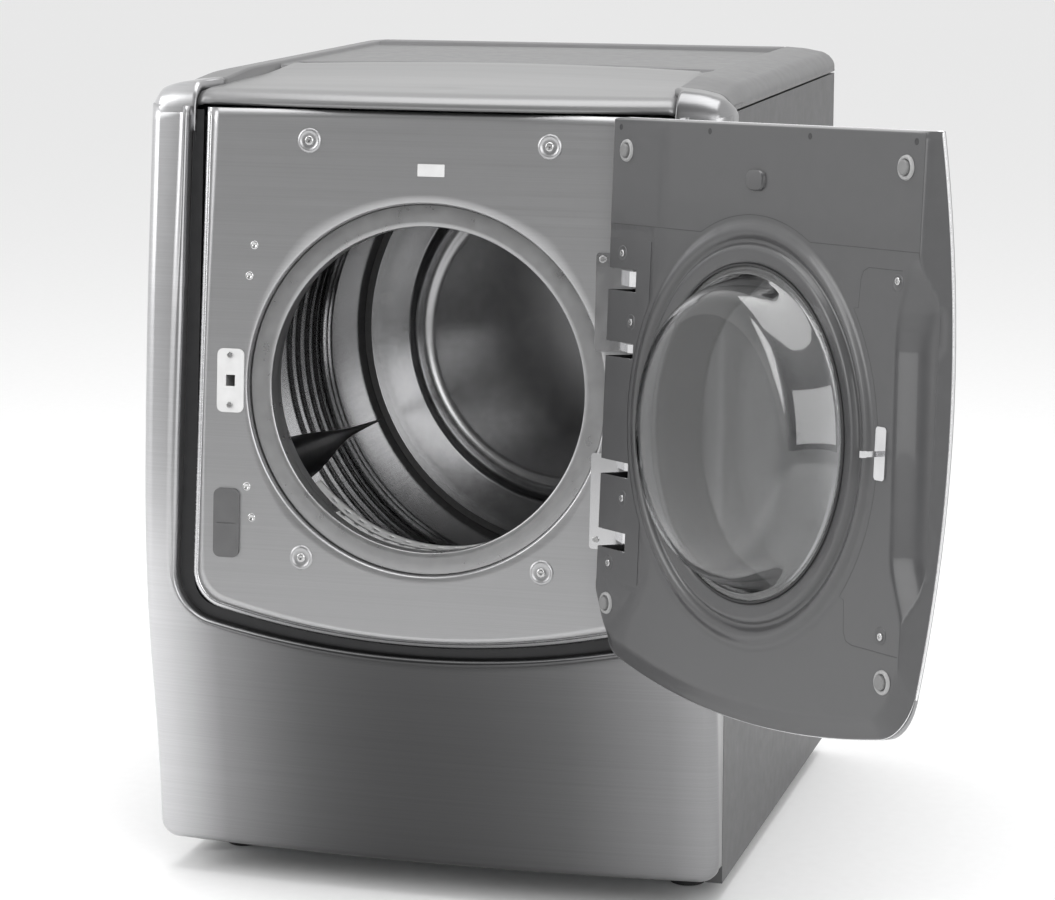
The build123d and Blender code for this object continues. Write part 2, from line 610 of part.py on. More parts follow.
def make_idler_arm():
    (x, h), (pivot_x, pivot_h) = idler_places()
    s0 = BELT_PLACE - 13
    arm = tube(5 + RUNNING_GAP, 12, s0 - 8, s0 + 5, pivot_x, pivot_h)
    link = make_face(Polyline((x - 6, h), (x + 6, h), (pivot_x + 8, pivot_h), (pivot_x - 8, pivot_h), close=True))
    place = Plane(origin=(0, OPENING_Y + s0 + 4, OPENING_Z), x_dir=(1, 0, 0), z_dir=(0, -1, 0))
    arm = arm + place.location * extrude(link, 4) - rod(5 + RUNNING_GAP, 0, 500, pivot_x, pivot_h)
    arm = arm + rod(7, s0, s0 + 6, x, h) + rod(4, s0 + 2, BELT_PLACE + 10, x, h)
    return tilt_drum(arm)


def make_idler_bracket():
    """Pedestal on the base pan with the pin that the idler arm swings on."""
    _, (pivot_x, pivot_h) = idler_places()
    s0 = BELT_PLACE - 13
    pin = tilt_drum(rod(5, s0 - 22, s0 + 8, pivot_x, pivot_h) + rod(8, s0 - 22, s0 - 9, pivot_x, pivot_h))
    middle = pin.bounding_box().center()
    y = OPENING_Y + s0 - 26 - 24
    post = box(middle.X - 12, middle.X + 12, y + 11, y + 16, PAN_Z + PAN_SHEET, middle.Z + 12)
    foot = box(middle.X - 20, middle.X + 20, y - 14, y + 16, PAN_Z + PAN_SHEET, PAN_Z + PAN_SHEET + 4)
    return pin + post + foot


def make_exhaust_duct():
    """Round duct from the blower to the vent at the bottom of the rear."""
    bend = 58.0
    path = [Line((0, OUTLET_REAR, DUCT_Z), (0, bend - 12, DUCT_Z)),
            RadiusArc((0, bend - 12, DUCT_Z), (-bend, -12, DUCT_Z), bend)]
    spine = Wire(path)
    ends = Plane(origin=(0, OUTLET_REAR, DUCT_Z), x_dir=(1, 0, 0), z_dir=(0, -1, 0))
    ring = ends.location * (Circle(DUCT_R - 0.8) - Circle(DUCT_R - 2))
    duct = sweep(ring, path=spine)
    collar = extrude(Circle(DUCT_R) - Circle(DUCT_R - 2), OUTLET_REAR - CABINET_DEPTH - 0.5)
    duct = duct + ends.location * collar
    plate = box(-bend - 1.5, -bend, -12 - 54, -12 + 54, DUCT_Z - 52, DUCT_Z + 52)
    plate = plate - box(-bend - 5, -bend + 5, -12 - 38, -12 + 38, DUCT_Z - 40, DUCT_Z + 34)
    return duct + plate


def make_heater_box():
    rear = CABINET_DEPTH - SHEET
    shell = box(120, 250, 650, rear, 70, 430) - box(122, 248, 652, rear + 1, 72, 428)
    for row in range(5):
        z = 90 + row * 14
        shell = shell - box(140, 230, 645, 655, z, z + 6)
    return shell


def make_control_board():
    tray = box(-150, 150, 380, 384, 948, 975) + box(-150, 150, 380, 520, 945, 948)
    board = box(-140, 140, 392, 510, 952, 954)
    posts = [box(x - 3, x + 3, y - 3, y + 3, 947, 953) for x in (-130, 130) for y in (400, 502)]
    relays = [box(x - 12, x + 12, 430, 462, 953.5, 968) for x in (-90, -50, 60)]
    return tray + board + posts + relays


def make_terminal_cover():
    rear = CABINET_DEPTH
    cover = box(-330, -230, rear, rear + 26, 800, 900) - box(-327, -233, rear - 1, rear + 24.5, 803, 897)
    place = Plane(origin=(-280, rear + 12, 795), x_dir=(1, 0, 0), z_dir=(0, 0, 1))
    return cover - place.location * Pos(0, 0, 5) * Cylinder(CORD_HOLE_R, 20)


# ---------------------------------------------------------------- small pieces on the front panel
def make_latch():
    plate = slab(35, 79, 8, 0, 2, LATCH_U, 2) - slab(12, 14, 1, -1, 3, LATCH_U, 2)
    for u, v in LATCH_SCREWS:
        plate = plate - disc(2.3, -1, 3, u, v)
    body = block(LATCH_U - 18, LATCH_U + 8.5, -22, 26, -46, -PANEL_SKIN)
    body = body - block(LATCH_U - 10, LATCH_U + 6.5, -12, 16, -42, 0)
    return group([on_panel(plate), on_panel(body)])


def make_cover_plate():
    cover = slab(34, 86, 9, 0, 2.4, -252.5, -175.5)
    return on_panel(cover - slab(24, 1.2, 0.3, 1.6, 3, -252.5, -175.5))


def make_label_plate():
    return on_panel(slab(34, 15, 1, 0, 0.6, 4, 267.5))


def make_hinge_brackets():
    """Two hinge plates on the front panel, each with two goose-neck arms out to the pivot."""
    brackets = []
    for low, high, screw_v, arms in ((58, 176, 168.5, ARMS_V[0:2]), (-180, -64, -168.5, ARMS_V[2:4])):
        plate = slab(46, high - low, 4, 0, HINGE_PLATE, 236, (low + high) / 2)
        for v, half in arms:
            outline = make_face(Polyline((244, 1), (257, 1), (262, 12), (268, 26), (280, 33), (281.5, 41),
                                         (274.5, 46), (264, 42), (254, 22), (248, 10), close=True))
            arm = Plane(origin=(0, v + half, 0), x_dir=(1, 0, 0), z_dir=(0, -1, 0)).location
            plate = plate + arm * extrude(outline, 2 * half)
        plate = plate - along_hinge(PIN_R + RUNNING_GAP, low - 20, high + 20) - disc(2.3, -1, 5, 221, screw_v)
        brackets.append(on_panel(plate))
    return group(brackets)


def along_hinge(radius, low, high):
    """A rod on the hinge's own line, in the closed door's axes."""
    middle = hinge_point + hinge_direction * ((low + high) / 2)
    place = Plane(origin=middle, z_dir=hinge_direction).location
    return panel_plane.location.inverse() * place * Cylinder(radius, high - low)


def make_panel_screws():
    screws = []
    for u, v in DIMPLES:
        screws.append(on_panel(Pos(u, v, -3.2) * pan_screw(5.2, 2.4, 2.1, 8)))
    for u, v in LATCH_SCREWS:
        screws.append(on_panel(Pos(u, v, 2) * pan_screw(4.0, 1.8, 2.1, 8)))
    for u, v in HINGE_SCREWS:
        screws.append(on_panel(Pos(u, v, HINGE_PLATE) * pan_screw(4.2, 2.0, 2.1, 8)))
    return group(screws)


# ---------------------------------------------------------------- door
def rim_height(v):
    """Height of the door's outer rim above the panel along its height."""
    return 60 - 28 * ((v - 35) / 290) ** 2


def front_height(u, v):
    return rim_height(v) + DOOR_BOW * (1 - (u / DOOR_HALF) ** 2)


def door_outline(inset):
    return recess_outline(DOOR_TOP - inset, 299 - inset, 299 - inset, DOOR_LOW_SIDE + inset,
                          DOOR_LOW_MIDDLE + inset, DOOR_CORNER - inset)


def door_form(base, lift):
    """Solid between a base and the door's bowed front surface, wider than the door."""
    half = 320.0
    sections = []
    for v in (-345, -230, -110, 35, 150, 250, 350):
        side = rim_height(v) + lift + DOOR_BOW * (1 - (half / DOOR_HALF) ** 2)
        top = rim_height(v) + lift + DOOR_BOW
        foot = base if base is not None else rim_height(v) - 4.0
        face = make_face([Line((-half, v, foot), (-half, v, side)),
                          ThreePointArc((-half, v, side), (0, v, top), (half, v, side)),
                          Line((half, v, side), (half, v, foot)),
                          Line((half, v, foot), (-half, v, foot))])
        sections.append(face)
    return loft(sections)


def rim_form(lift):
    """Solid below the surface that the door's rim follows."""
    points = [(0, v, rim_height(v) + lift) for v in (-345, -230, -110, 35, 150, 250, 350)]
    face = make_face([Spline(*points), Line(points[-1], (0, 350, -40)), Line((0, 350, -40), (0, -345, -40)),
                      Line((0, -345, -40), points[0])])
    return Pos(-330, 0, 0) * extrude(face, 660, dir=(1, 0, 0))


def control_plane(u):
    """Plane on the door's front surface at the control strip, facing outwards."""
    slope_u = -2 * DOOR_BOW * u / DOOR_HALF ** 2
    slope_v = -56 * (FASCIA_V - 35) / 290 ** 2
    return Plane(origin=(u, FASCIA_V, front_height(u, FASCIA_V)), x_dir=(1, 0, slope_u),
                 z_dir=(-slope_u, -slope_v, 1))


def make_door_skin():
    body = Pos(0, 0, 0) * extrude(door_outline(0), 100) & door_form(5.0, 0)
    hollow = extrude(door_outline(DOOR_SHEET), 100) & door_form(-20.0, -DOOR_SHEET)
    skin = body - hollow - rim_form(-4.0) - disc(OUTER_GLASS_R + 0.6, 0, 120, 0, WINDOW_V)
    for slot in arm_slots(51):
        skin = skin - slot
    for u in (-120, 0, 120):
        skin = skin - control_plane(u).location * disc(12, -15, 15)
    return open_door(skin)


def arm_slots(top):
    """Slots at the hinge edge that let the door swing past the hinge arms."""
    slots = []
    for v, half in ARMS_V:
        slots.append(block(236, 310, v - half - 4, v + half + 4, -5, top))
    return slots


def cover_outlines():
    hinge_side = make_face(Polyline((206, -205), (310, -205), (310, 196), (206, 196), close=True))
    latch_side = make_face(Polyline((-196, -205), (-310, -205), (-310, 193), (-196, 193), close=True))
    round_part = Pos(0, WINDOW_V) * Circle(242)
    return hinge_side - round_part, latch_side - round_part


def valley_outline():
    return make_face(Polyline((-275, 150), (-264, 120), (-265, 60), (-272, -106), (-288, -140), (-310, -165),
                              (-310, 150), close=True))


def liner_body():
    body = Pos(0, 0, LINER_N) * extrude(door_outline(1.0), 90)
    edges = body.faces().sort_by(Axis.Z)[0].edges()
    body = fillet(edges, 8)
    hollow = Pos(0, 0, LINER_N + DOOR_SHEET) * extrude(door_outline(1.0 + DOOR_SHEET), 90)
    body = (body - hollow) & rim_form(-4.3)
    ring = turned([(187.5, LINER_N + 2.5), (187.5, 4.5), (200, 1.2), (208, 3), (212, 7), (218, 5), (223, 2.2),
                   (229, 3.4), (240, LINER_N), (240, LINER_N + 2.5)])
    body = body - disc(239, 0, 30, 0, WINDOW_V) + Pos(0, WINDOW_V, 0) * ring
    return body


def upper_mask(lift):
    return block(-320, 320, 213 + lift, 360, 0, 90) - disc(241 + lift, -10, 100, 0, WINDOW_V)


def make_door_liner():
    body = liner_body() - upper_mask(0)
    hinge_side, latch_side = cover_outlines()
    body = body - Pos(0, 0, -5) * extrude(hinge_side, 18) - Pos(0, 0, -5) * extrude(latch_side, 18)
    body = body - Pos(0, 0, -5) * extrude(valley_outline(), 36)
    for slot in arm_slots(48.5):
        body = body - slot
    return open_door(body)


def make_door_upper_liner():
    body = (liner_body() & upper_mask(0.4)) + slab(34, 25, 12, 3.5, LINER_N + 1, 0, 275)
    for u in (-282, -96, 96, 282):
        body = body - disc(3, 0, 20, u, 325.7)
    return open_door(body)


def screw_holes():
    return group([disc(2.0, 0, 12, u, v) for u, v in COVER_SCREWS])


def make_door_hinge_cover():
    hinge_side, _ = cover_outlines()
    plate = Pos(0, 0, LINER_N) * extrude(offset(hinge_side, -0.5), DOOR_SHEET)
    plate = plate & block(200, 287.5, -230, 230, 0, 30)
    for slot in arm_slots(48.5):
        plate = plate - slot
    return open_door(plate - screw_holes())


def make_door_handle_cover():
    """Cover on the latch side with the sunken valley that the fingers pull on."""
    _, latch_side = cover_outlines()
    plate = Pos(0, 0, LINER_N) * extrude(offset(latch_side, -0.5), DOOR_SHEET)
    plate = plate & block(-289, -190, -230, 230, 0, 30)
    plate = plate - Pos(0, 0, -5) * extrude(valley_outline(), 36)
    slope = make_face(Polyline((-262, 6.6), (-272, 9.5), (-288, 27), (-296.5, 29.5), (-296.5, 32), (-287, 29.5),
                               (-270.5, 12.1), (-261.5, 9.0), close=True))
    place = Plane(origin=(0, 149.5, 0), x_dir=(1, 0, 0), z_dir=(0, -1, 0)).location
    valley = place * extrude(slope, 314)
    return open_door(plate - screw_holes() + (valley & block(-294.8, -258, -138.5, 148.5, 0, 40)))


def make_door_outer_glass():
    top = front_height(0, WINDOW_V) - 1.0
    rise = DOOR_BOW * (OUTER_GLASS_R / DOOR_HALF) ** 2
    radius = (OUTER_GLASS_R ** 2 + rise ** 2) / (2 * rise)
    ball = Pos(0, 0, top - radius) * Sphere(radius)
    under = Pos(0, 0, top - radius - 5) * Sphere(radius)
    return open_door(Pos(0, WINDOW_V, 0) * ((disc(OUTER_GLASS_R, 40, 120) & ball) - under))


def make_door_bowl():
    """Deep glass bowl that reaches into the opening."""
    points = [(0, BOWL_FACE_N), (BOWL_FACE_R - 8, BOWL_FACE_N), (BOWL_FACE_R, BOWL_FACE_N + 6),
              (174, 2), (178, 5), (187, 5), (187, 9), (172, 9), (148.5, BOWL_FACE_N + 9),
              (BOWL_FACE_R - 12, BOWL_FACE_N + 5), (0, BOWL_FACE_N + 5)]
    return open_door(Pos(0, WINDOW_V, 0) * turned(points))


def make_door_window_ring():
    ring = turned([(176, 9), (236, 9), (236, 11), (200, 11), (198, 14), (178, 14), (176, 12)])
    return open_door(Pos(0, WINDOW_V, 0) * ring)


def make_door_seal():
    ring = turned([(180, 5), (180, 3), (187, 3), (187, 5)])
    return open_door(Pos(0, WINDOW_V, 0) * ring)


def make_door_bumpers():
    bumpers = []
    for u, v in BUMPERS:
        knob = disc(8, 0.5, LINER_N, u, v)
        knob = fillet(knob.edges().sort_by(Axis.Z)[0], 2)
        bumpers.append(open_door(knob))
    return group(bumpers)


def make_door_hook():
    plate = slab(18, 56, 4, LINER_N - 2, LINER_N, LATCH_U, -4 + 6)
    shank = block(LATCH_U - 1.2, LATCH_U + 1.2, -1, 5, -20, LINER_N)
    head = block(LATCH_U - 2, LATCH_U + 2, -1.5, 5.5, -20, -14)
    return open_door(plate + shank + head)


def make_hinge_leaves():
    """Pins on the hinge line, held by leaves that are screwed inside the door."""
    leaves = []
    for low, high, leaf_low, leaf_high in ((55, 164, 84, 126), (-172, -62, -136, -92)):
        leaf = along_hinge(PIN_R, low, high) + along_hinge(8, leaf_low, leaf_high)
        leaf = leaf + block(262, HINGE_U - 3, leaf_low, leaf_high, 9, HINGE_N)
        leaf = leaf + block(222, 268, leaf_low, leaf_high, 9, 12)
        leaves.append(open_door(leaf))
    return group(leaves)


def make_door_screws():
    screws = []
    for u, v in COVER_SCREWS:
        place = Pos(u, v, LINER_N) * Rot(180, 0, 0)
        screws.append(open_door(place * pan_screw(4.2, 1.8, 1.8, 2)))
    return group(screws)


def make_control_fascia():
    strip = slab(420, 62, 12, 30, 120, 0, FASCIA_V)
    pad = (strip & door_form(5.0, 2.0)) - door_form(5.0, 0)
    pad = pad - control_plane(0).location * disc(3 + RUNNING_GAP, -15, 15)
    for u in (-120, 120):
        pad = pad - control_plane(u).location * disc(BUTTON_R + 0.4, -15, 15)
    return open_door(pad)


def make_cycle_dial():
    knob = disc(KNOB_R, 3.2, 20)
    knob = fillet(knob.edges().sort_by(Axis.Z)[-1], 3)
    knob = knob + disc(3, -8, 4)
    for index in range(24):
        knob = knob - disc(1.2, 5, 30, KNOB_R + 0.5, 0).rotate(Axis.Z, index * 15)
    return open_door(control_plane(0).location * knob)


def make_button(u):
    cap = disc(BUTTON_R, -6, 5.5)
    cap = fillet(cap.edges().sort_by(Axis.Z)[-1], 1.2)
    return open_door(control_plane(u).location * cap)


# ---------------------------------------------------------------- write every node
def main():
    os.makedirs("parts", exist_ok=True)
    save("front_frame", make_front_frame())
    save("recess_channel", make_recess_channel())
    save("front_panel", make_front_panel())
    save("opening_ring", make_opening_ring())
    save("side_panel_left", make_side_panel(-1))
    save("side_panel_right", make_side_panel(1))
    save("rear_panel", make_rear_panel())
    save("base_pan", make_base_pan())
    save("top_cover", make_top_cover())
    save("top_lip", make_top_lip())
    save("front_bulkhead", make_front_bulkhead())
    save("rear_bulkhead", make_rear_bulkhead())
    save("drum_seals", make_drum_seals())
    save("lint_duct", make_lint_duct())
    save("lint_grille", make_lint_grille())
    save("moisture_bars", make_moisture_bars())
    save("drum_lamp", make_drum_lamp())
    save("latch", make_latch())
    save("cover_plate", make_cover_plate())
    save("label_plate", make_label_plate())
    save("hinge_brackets", make_hinge_brackets())
    save("panel_screws", make_panel_screws())
    save("control_board", make_control_board())
    save("terminal_cover", make_terminal_cover())
    save("heater_box", make_heater_box())
    save("exhaust_duct", make_exhaust_duct())
    save("blower_housing", make_blower_housing())
    save("motor", make_motor())
    save("idler_bracket", make_idler_bracket())
    save("roller_axles", make_roller_axles())
    save("belt", make_belt())
    save("drum", make_drum())
    save("lifters", make_lifters())
    save("rotor", make_rotor())
    save("idler_arm", make_idler_arm())
    save("idler_pulley", make_idler_pulley())
    save("lint_filter", make_lint_filter())
    for name, angle in zip(("roller_left", "roller_right"), ROLLER_ANGLES):
        save(name, make_roller(angle))
    for name, (x, y) in zip(("foot_front_left", "foot_rear_left", "foot_front_right", "foot_rear_right"),
                            foot_places()):
        save(name, make_foot(x, y))
    save("door_skin", make_door_skin())
    save("door_liner", make_door_liner())
    save("door_upper_liner", make_door_upper_liner())
    save("door_hinge_cover", make_door_hinge_cover())
    save("door_handle_cover", make_door_handle_cover())
    save("door_outer_glass", make_door_outer_glass())
    save("door_bowl", make_door_bowl())
    save("door_window_ring", make_door_window_ring())
    save("door_seal", make_door_seal())
    save("door_bumpers", make_door_bumpers())
    save("door_hook", make_door_hook())
    save("hinge_leaves", make_hinge_leaves())
    save("door_screws", make_door_screws())
    save("control_fascia", make_control_fascia())
    save("cycle_dial", make_cycle_dial())
    save("power_button", make_button(-120))
    save("start_button", make_button(120))


main()
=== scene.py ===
import json
import math
import bpy
import numpy as np
from mathutils import Matrix, Vector


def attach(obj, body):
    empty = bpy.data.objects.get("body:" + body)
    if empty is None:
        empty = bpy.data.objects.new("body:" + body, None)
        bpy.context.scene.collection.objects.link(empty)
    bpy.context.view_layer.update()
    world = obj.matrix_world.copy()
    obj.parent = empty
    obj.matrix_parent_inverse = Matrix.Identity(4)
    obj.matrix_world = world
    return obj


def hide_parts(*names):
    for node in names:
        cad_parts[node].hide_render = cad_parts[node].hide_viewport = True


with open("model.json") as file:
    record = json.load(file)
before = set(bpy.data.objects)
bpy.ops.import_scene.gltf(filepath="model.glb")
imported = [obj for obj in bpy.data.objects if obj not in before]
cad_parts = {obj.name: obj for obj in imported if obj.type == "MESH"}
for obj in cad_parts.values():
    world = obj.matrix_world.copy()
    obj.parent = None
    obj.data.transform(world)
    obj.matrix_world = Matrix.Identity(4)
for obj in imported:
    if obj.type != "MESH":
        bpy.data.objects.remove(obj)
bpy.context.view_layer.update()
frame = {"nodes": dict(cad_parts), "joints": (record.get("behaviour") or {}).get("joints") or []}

# The origin is the centre of the four feet; the side panels' front seam is this far in front of it.
FRONT = -0.340
MM = 0.001
TILT = math.radians(5.0)
OPENING = Vector((0, FRONT - 0.0942, 0.6439))
AXIS_U = Vector((1, 0, 0))
AXIS_V = Vector((0, math.sin(TILT), math.cos(TILT)))
AXIS_N = Vector((0, -math.cos(TILT), math.sin(TILT)))
LEAN = math.radians(3.0)
DRUM_S = Vector((0, math.cos(LEAN), -math.sin(LEAN)))
DRUM_H = Vector((0, math.sin(LEAN), math.cos(LEAN)))
HINGE = next(j for j in frame["joints"] if j["name"] == "door_swing")
HINGE_POINT = Vector(HINGE["pos_m"])
HINGE_TURN = (Matrix.Translation(HINGE_POINT) @ Matrix.Rotation(math.radians(136.2), 4, Vector(HINGE["axis"]))
              @ Matrix.Translation(-HINGE_POINT))
DOOR_TO_CLOSED = HINGE_TURN.inverted()
# Heights and sizes in mm that several pieces share.
WINDOW_V = -4.0
PANEL_TOP = 337.0
LINER_N = 6.5
SKIN_SHEET = 4.5
PROFILE_LOW, PROFILE_HIGH = 42, 981
HALF_WIDTH = 357.5


def on_panel(u, v, n):
    return OPENING + AXIS_U * (u * MM) + AXIS_V * (v * MM) + AXIS_N * (n * MM)


def on_door(u, v, n):
    return HINGE_TURN @ on_panel(u, v, n)


def in_drum(x, s, h):
    return OPENING + Vector((x * MM, 0, 0)) + DRUM_S * (s * MM) + DRUM_H * (h * MM)


def in_cabinet(x, y, z):
    return Vector((x * MM, FRONT + y * MM, z * MM))


# ------------------------------------------------------------------ materials
# Grain scales: brushed across the width, and the same a little coarser for narrow edges.
BRUSH = (3, 3, 900)
EDGE_BRUSH = (3, 3, 500)
PLAIN_BUMP_SCALE, GRAIN_BUMP_SCALE = 900.0, 2.0
BUMP_HEIGHT = 0.0003


def new_material(name):
    m = bpy.data.materials.new(name)
    m.use_nodes = True
    return m, m.node_tree.nodes, m.node_tree.links, m.node_tree.nodes["Principled BSDF"]


def finish_material(name, colour, metallic=0.0, rough=0.4, grain=None, grain_depth=0.1, coat=0.0,
                    rough_spread=0.08, bump=0.05):
    """A surface with stretched grain or fine texture in its colour, roughness and bump."""
    m, nodes, links, bsdf = new_material(name)
    coord = nodes.new("ShaderNodeTexCoord")
    mapping = nodes.new("ShaderNodeMapping")
    mapping.inputs["Scale"].default_value = grain or (60, 60, 60)
    noise = nodes.new("ShaderNodeTexNoise")
    noise.inputs["Scale"].default_value = 1.0
    noise.inputs["Detail"].default_value = 4.0
    links.new(coord.outputs["Object"], mapping.inputs["Vector"])
    links.new(mapping.outputs["Vector"], noise.inputs["Vector"])
    ramp = nodes.new("ShaderNodeValToRGB")
    low = [max(c * (1 - grain_depth), 0) for c in colour] + [1]
    high = [min(c * (1 + grain_depth), 1) for c in colour] + [1]
    ramp.color_ramp.elements[0].position = 0.3
    ramp.color_ramp.elements[1].position = 0.7
    ramp.color_ramp.elements[0].color = low
    ramp.color_ramp.elements[1].color = high
    links.new(noise.outputs["Fac"], ramp.inputs["Fac"])
    links.new(ramp.outputs["Color"], bsdf.inputs["Base Color"])
    spread = nodes.new("ShaderNodeMapRange")
    spread.inputs["To Min"].default_value = max(rough - rough_spread, 0.02)
    spread.inputs["To Max"].default_value = min(rough + rough_spread, 1.0)
    links.new(noise.outputs["Fac"], spread.inputs["Value"])
    links.new(spread.outputs["Result"], bsdf.inputs["Roughness"])
    fine = nodes.new("ShaderNodeTexNoise")
    fine.inputs["Scale"].default_value = GRAIN_BUMP_SCALE if grain else PLAIN_BUMP_SCALE
    links.new(mapping.outputs["Vector"] if grain else coord.outputs["Object"], fine.inputs["Vector"])
    relief = nodes.new("ShaderNodeBump")
    relief.inputs["Strength"].default_value = bump
    relief.inputs["Distance"].default_value = BUMP_HEIGHT
    links.new(fine.outputs["Fac"], relief.inputs["Height"])
    links.new(relief.outputs["Normal"], bsdf.inputs["Normal"])
    bsdf.inputs["Metallic"].default_value = metallic
    bsdf.inputs["Coat Weight"].default_value = coat
    bsdf.inputs["IOR"].default_value = 1.5
    return m


def paint_reflections_across(material, stops):
    """Tints a metal from side to side by its place on the object.

    The real sheet is presumably one even finish. This paints reflections into the base colour: the light corners
    and dark middle of its reflections, so it stays in every view and travels with the door.
    """
    nodes, links = material.node_tree.nodes, material.node_tree.links
    bsdf = nodes["Principled BSDF"]
    grain = bsdf.inputs["Base Color"].links[0].from_socket
    coord = nodes.new("ShaderNodeTexCoord")
    split = nodes.new("ShaderNodeSeparateXYZ")
    links.new(coord.outputs["Object"], split.inputs["Vector"])
    across = nodes.new("ShaderNodeMapRange")
    half_span = 0.37
    across.inputs["From Min"].default_value = -half_span
    across.inputs["From Max"].default_value = half_span
    links.new(split.outputs["X"], across.inputs["Value"])
    ramp = nodes.new("ShaderNodeValToRGB")
    ramp.color_ramp.interpolation = "B_SPLINE"
    while len(ramp.color_ramp.elements) < len(stops):
        ramp.color_ramp.elements.new(0.5)
    for element, (place, value) in zip(ramp.color_ramp.elements, stops):
        element.position = place
        element.color = (value, value, value * 1.01, 1)
    links.new(across.outputs["Result"], ramp.inputs["Fac"])
    mix = nodes.new("ShaderNodeMix")
    mix.data_type = "RGBA"
    mix.blend_type = "MULTIPLY"
    mix.inputs["Factor"].default_value = 1.0
    links.new(grain, mix.inputs["A"])
    links.new(ramp.outputs["Color"], mix.inputs["B"])
    links.new(mix.outputs["Result"], bsdf.inputs["Base Color"])
    return material


# Painted reflections: place from the left (0) to the right (1) and the share of the base colour that is kept there,
# light at the corners and dark in the middle.
FRONT_PAINTED_REFLECTION = [(0, .66), (.06, .52), (.14, .22), (.3, .085), (.5, .065), (.75, .10), (.92, .24), (1, .34)]
BEVEL_PAINTED_REFLECTION = [(0, .85), (.1, .8), (.2, .2), (.5, .13), (.8, .2), (.9, .5), (1, .6)]
MATERIALS = {
    # The front steel's base colour carries painted reflections: light at the outer corners, dark across the middle.
    "steel_front_painted_reflection": paint_reflections_across(finish_material("steel_front_painted_reflection", (.9, .9, .905), 1.0, .30, BRUSH, .05, rough_spread=.04,
                                                bump=.05), FRONT_PAINTED_REFLECTION),
    "steel_panel": finish_material("steel_panel", (.40, .40, .405), 1.0, .36, BRUSH, .04, rough_spread=.04, bump=.04),
    "ring_paint": finish_material("ring_paint", (.34, .34, .343), .85, .30, None, .04, bump=.02),
    "side_paint": finish_material("side_paint", (.075, .075, .077), .2, .45, None, .04, bump=.12),
    "top_paint": finish_material("top_paint", (.13, .13, .132), .3, .42, None, .04, bump=.05),
    "lip_paint": finish_material("lip_paint", (.22, .22, .222), .6, .36, BRUSH, .03, bump=.03),
    "black_plastic": finish_material("black_plastic", (.012, .012, .013), 0, .42, None, .15, bump=.10),
    "liner_plastic": finish_material("liner_plastic", (.062, .062, .064), .1, .34, None, .03, coat=.25, bump=.01),
    "cover_plastic": finish_material("cover_plastic", (.060, .060, .062), .1, .38, None, .03, coat=.15, bump=.05),
    "drum_steel": finish_material("drum_steel", (.44, .44, .445), 1.0, .14, (300, 6, 300), .06, rough_spread=.04,
                                  bump=.02),
    "rear_steel": finish_material("rear_steel", (.46, .46, .465), 1.0, .24, (60, 60, 60), .05, rough_spread=.04,
                                  bump=.02),
    "galvanised": finish_material("galvanised", (.42, .43, .44), .9, .42, (35, 35, 35), .14, rough_spread=.12,
                                  bump=.05),
    "chrome": finish_material("chrome", (.78, .78, .79), 1.0, .14, (40, 40, 40), .05, rough_spread=.05, bump=.02),
    "light_plastic": finish_material("light_plastic", (.62, .62, .62), 0, .38, None, .04, bump=.05),
    "grey_plastic": finish_material("grey_plastic", (.30, .30, .30), 0, .42, None, .06, bump=.08),
    "plate_plastic": finish_material("plate_plastic", (.13, .13, .132), .4, .36, None, .05, bump=.05),
    "rubber": finish_material("rubber", (.022, .022, .023), 0, .62, None, .2, bump=.2),
    "soft_grey": finish_material("soft_grey", (.17, .17, .17), 0, .5, None, .08, bump=.1),
    "felt": finish_material("felt", (.16, .16, .16), 0, .95, (800, 800, 800), .25, bump=.6),
    "iron": finish_material("iron", (.10, .10, .105), .6, .5, None, .2, bump=.3),
    "board_green": finish_material("board_green", (.03, .12, .05), 0, .4, None, .15, bump=.1),
    "screw_steel": finish_material("screw_steel", (.50, .50, .50), 1.0, .25, (60, 60, 60), .1, bump=.04),
    # The bevel's base colour carries painted reflections: light at its left and right ends, dark across the middle.
    "bevel_steel_painted_reflection": paint_reflections_across(finish_material("bevel_steel_painted_reflection", (.95, .95, .955), .95, .26, EDGE_BRUSH, .03, bump=.02),
                                BEVEL_PAINTED_REFLECTION),
    "edge_steel": finish_material("edge_steel", (.78, .78, .79), .9, .22, EDGE_BRUSH, .04, bump=.03),
    # Near-black for the fine joints between mouldings, and painted shade for the small holes along the door's top
    # edge.
    "dark_seam_and_hole_shade": finish_material("dark_seam_and_hole_shade", (.02, .02, .021), 0, .5, None, .2, bump=.05),
    "fascia_gloss": finish_material("fascia_gloss", (.012, .012, .013), 0, .10, None, .1, coat=.6, bump=.01),
    "knob_steel": finish_material("knob_steel", (.55, .55, .56), 1.0, .26, (500, 500, 20), .08, bump=.05),
}


def glass_material(name, colour, transmission, rough):
    m = finish_material(name, colour, 0.0, rough, (25, 25, 25), .03, rough_spread=.015, bump=.01, coat=.4)
    bsdf = m.node_tree.nodes["Principled BSDF"]
    bsdf.inputs["Transmission Weight"].default_value = transmission
    bsdf.inputs["IOR"].default_value = 1.46
    return m


MATERIALS["bowl_glass"] = glass_material("bowl_glass", (.66, .665, .67), 1.0, .03)
MATERIALS["smoked_glass"] = glass_material("smoked_glass", (.36, .36, .365), .96, .08)
MATERIALS["lamp_glass"] = glass_material("lamp_glass", (.85, .85, .82), .8, .15)

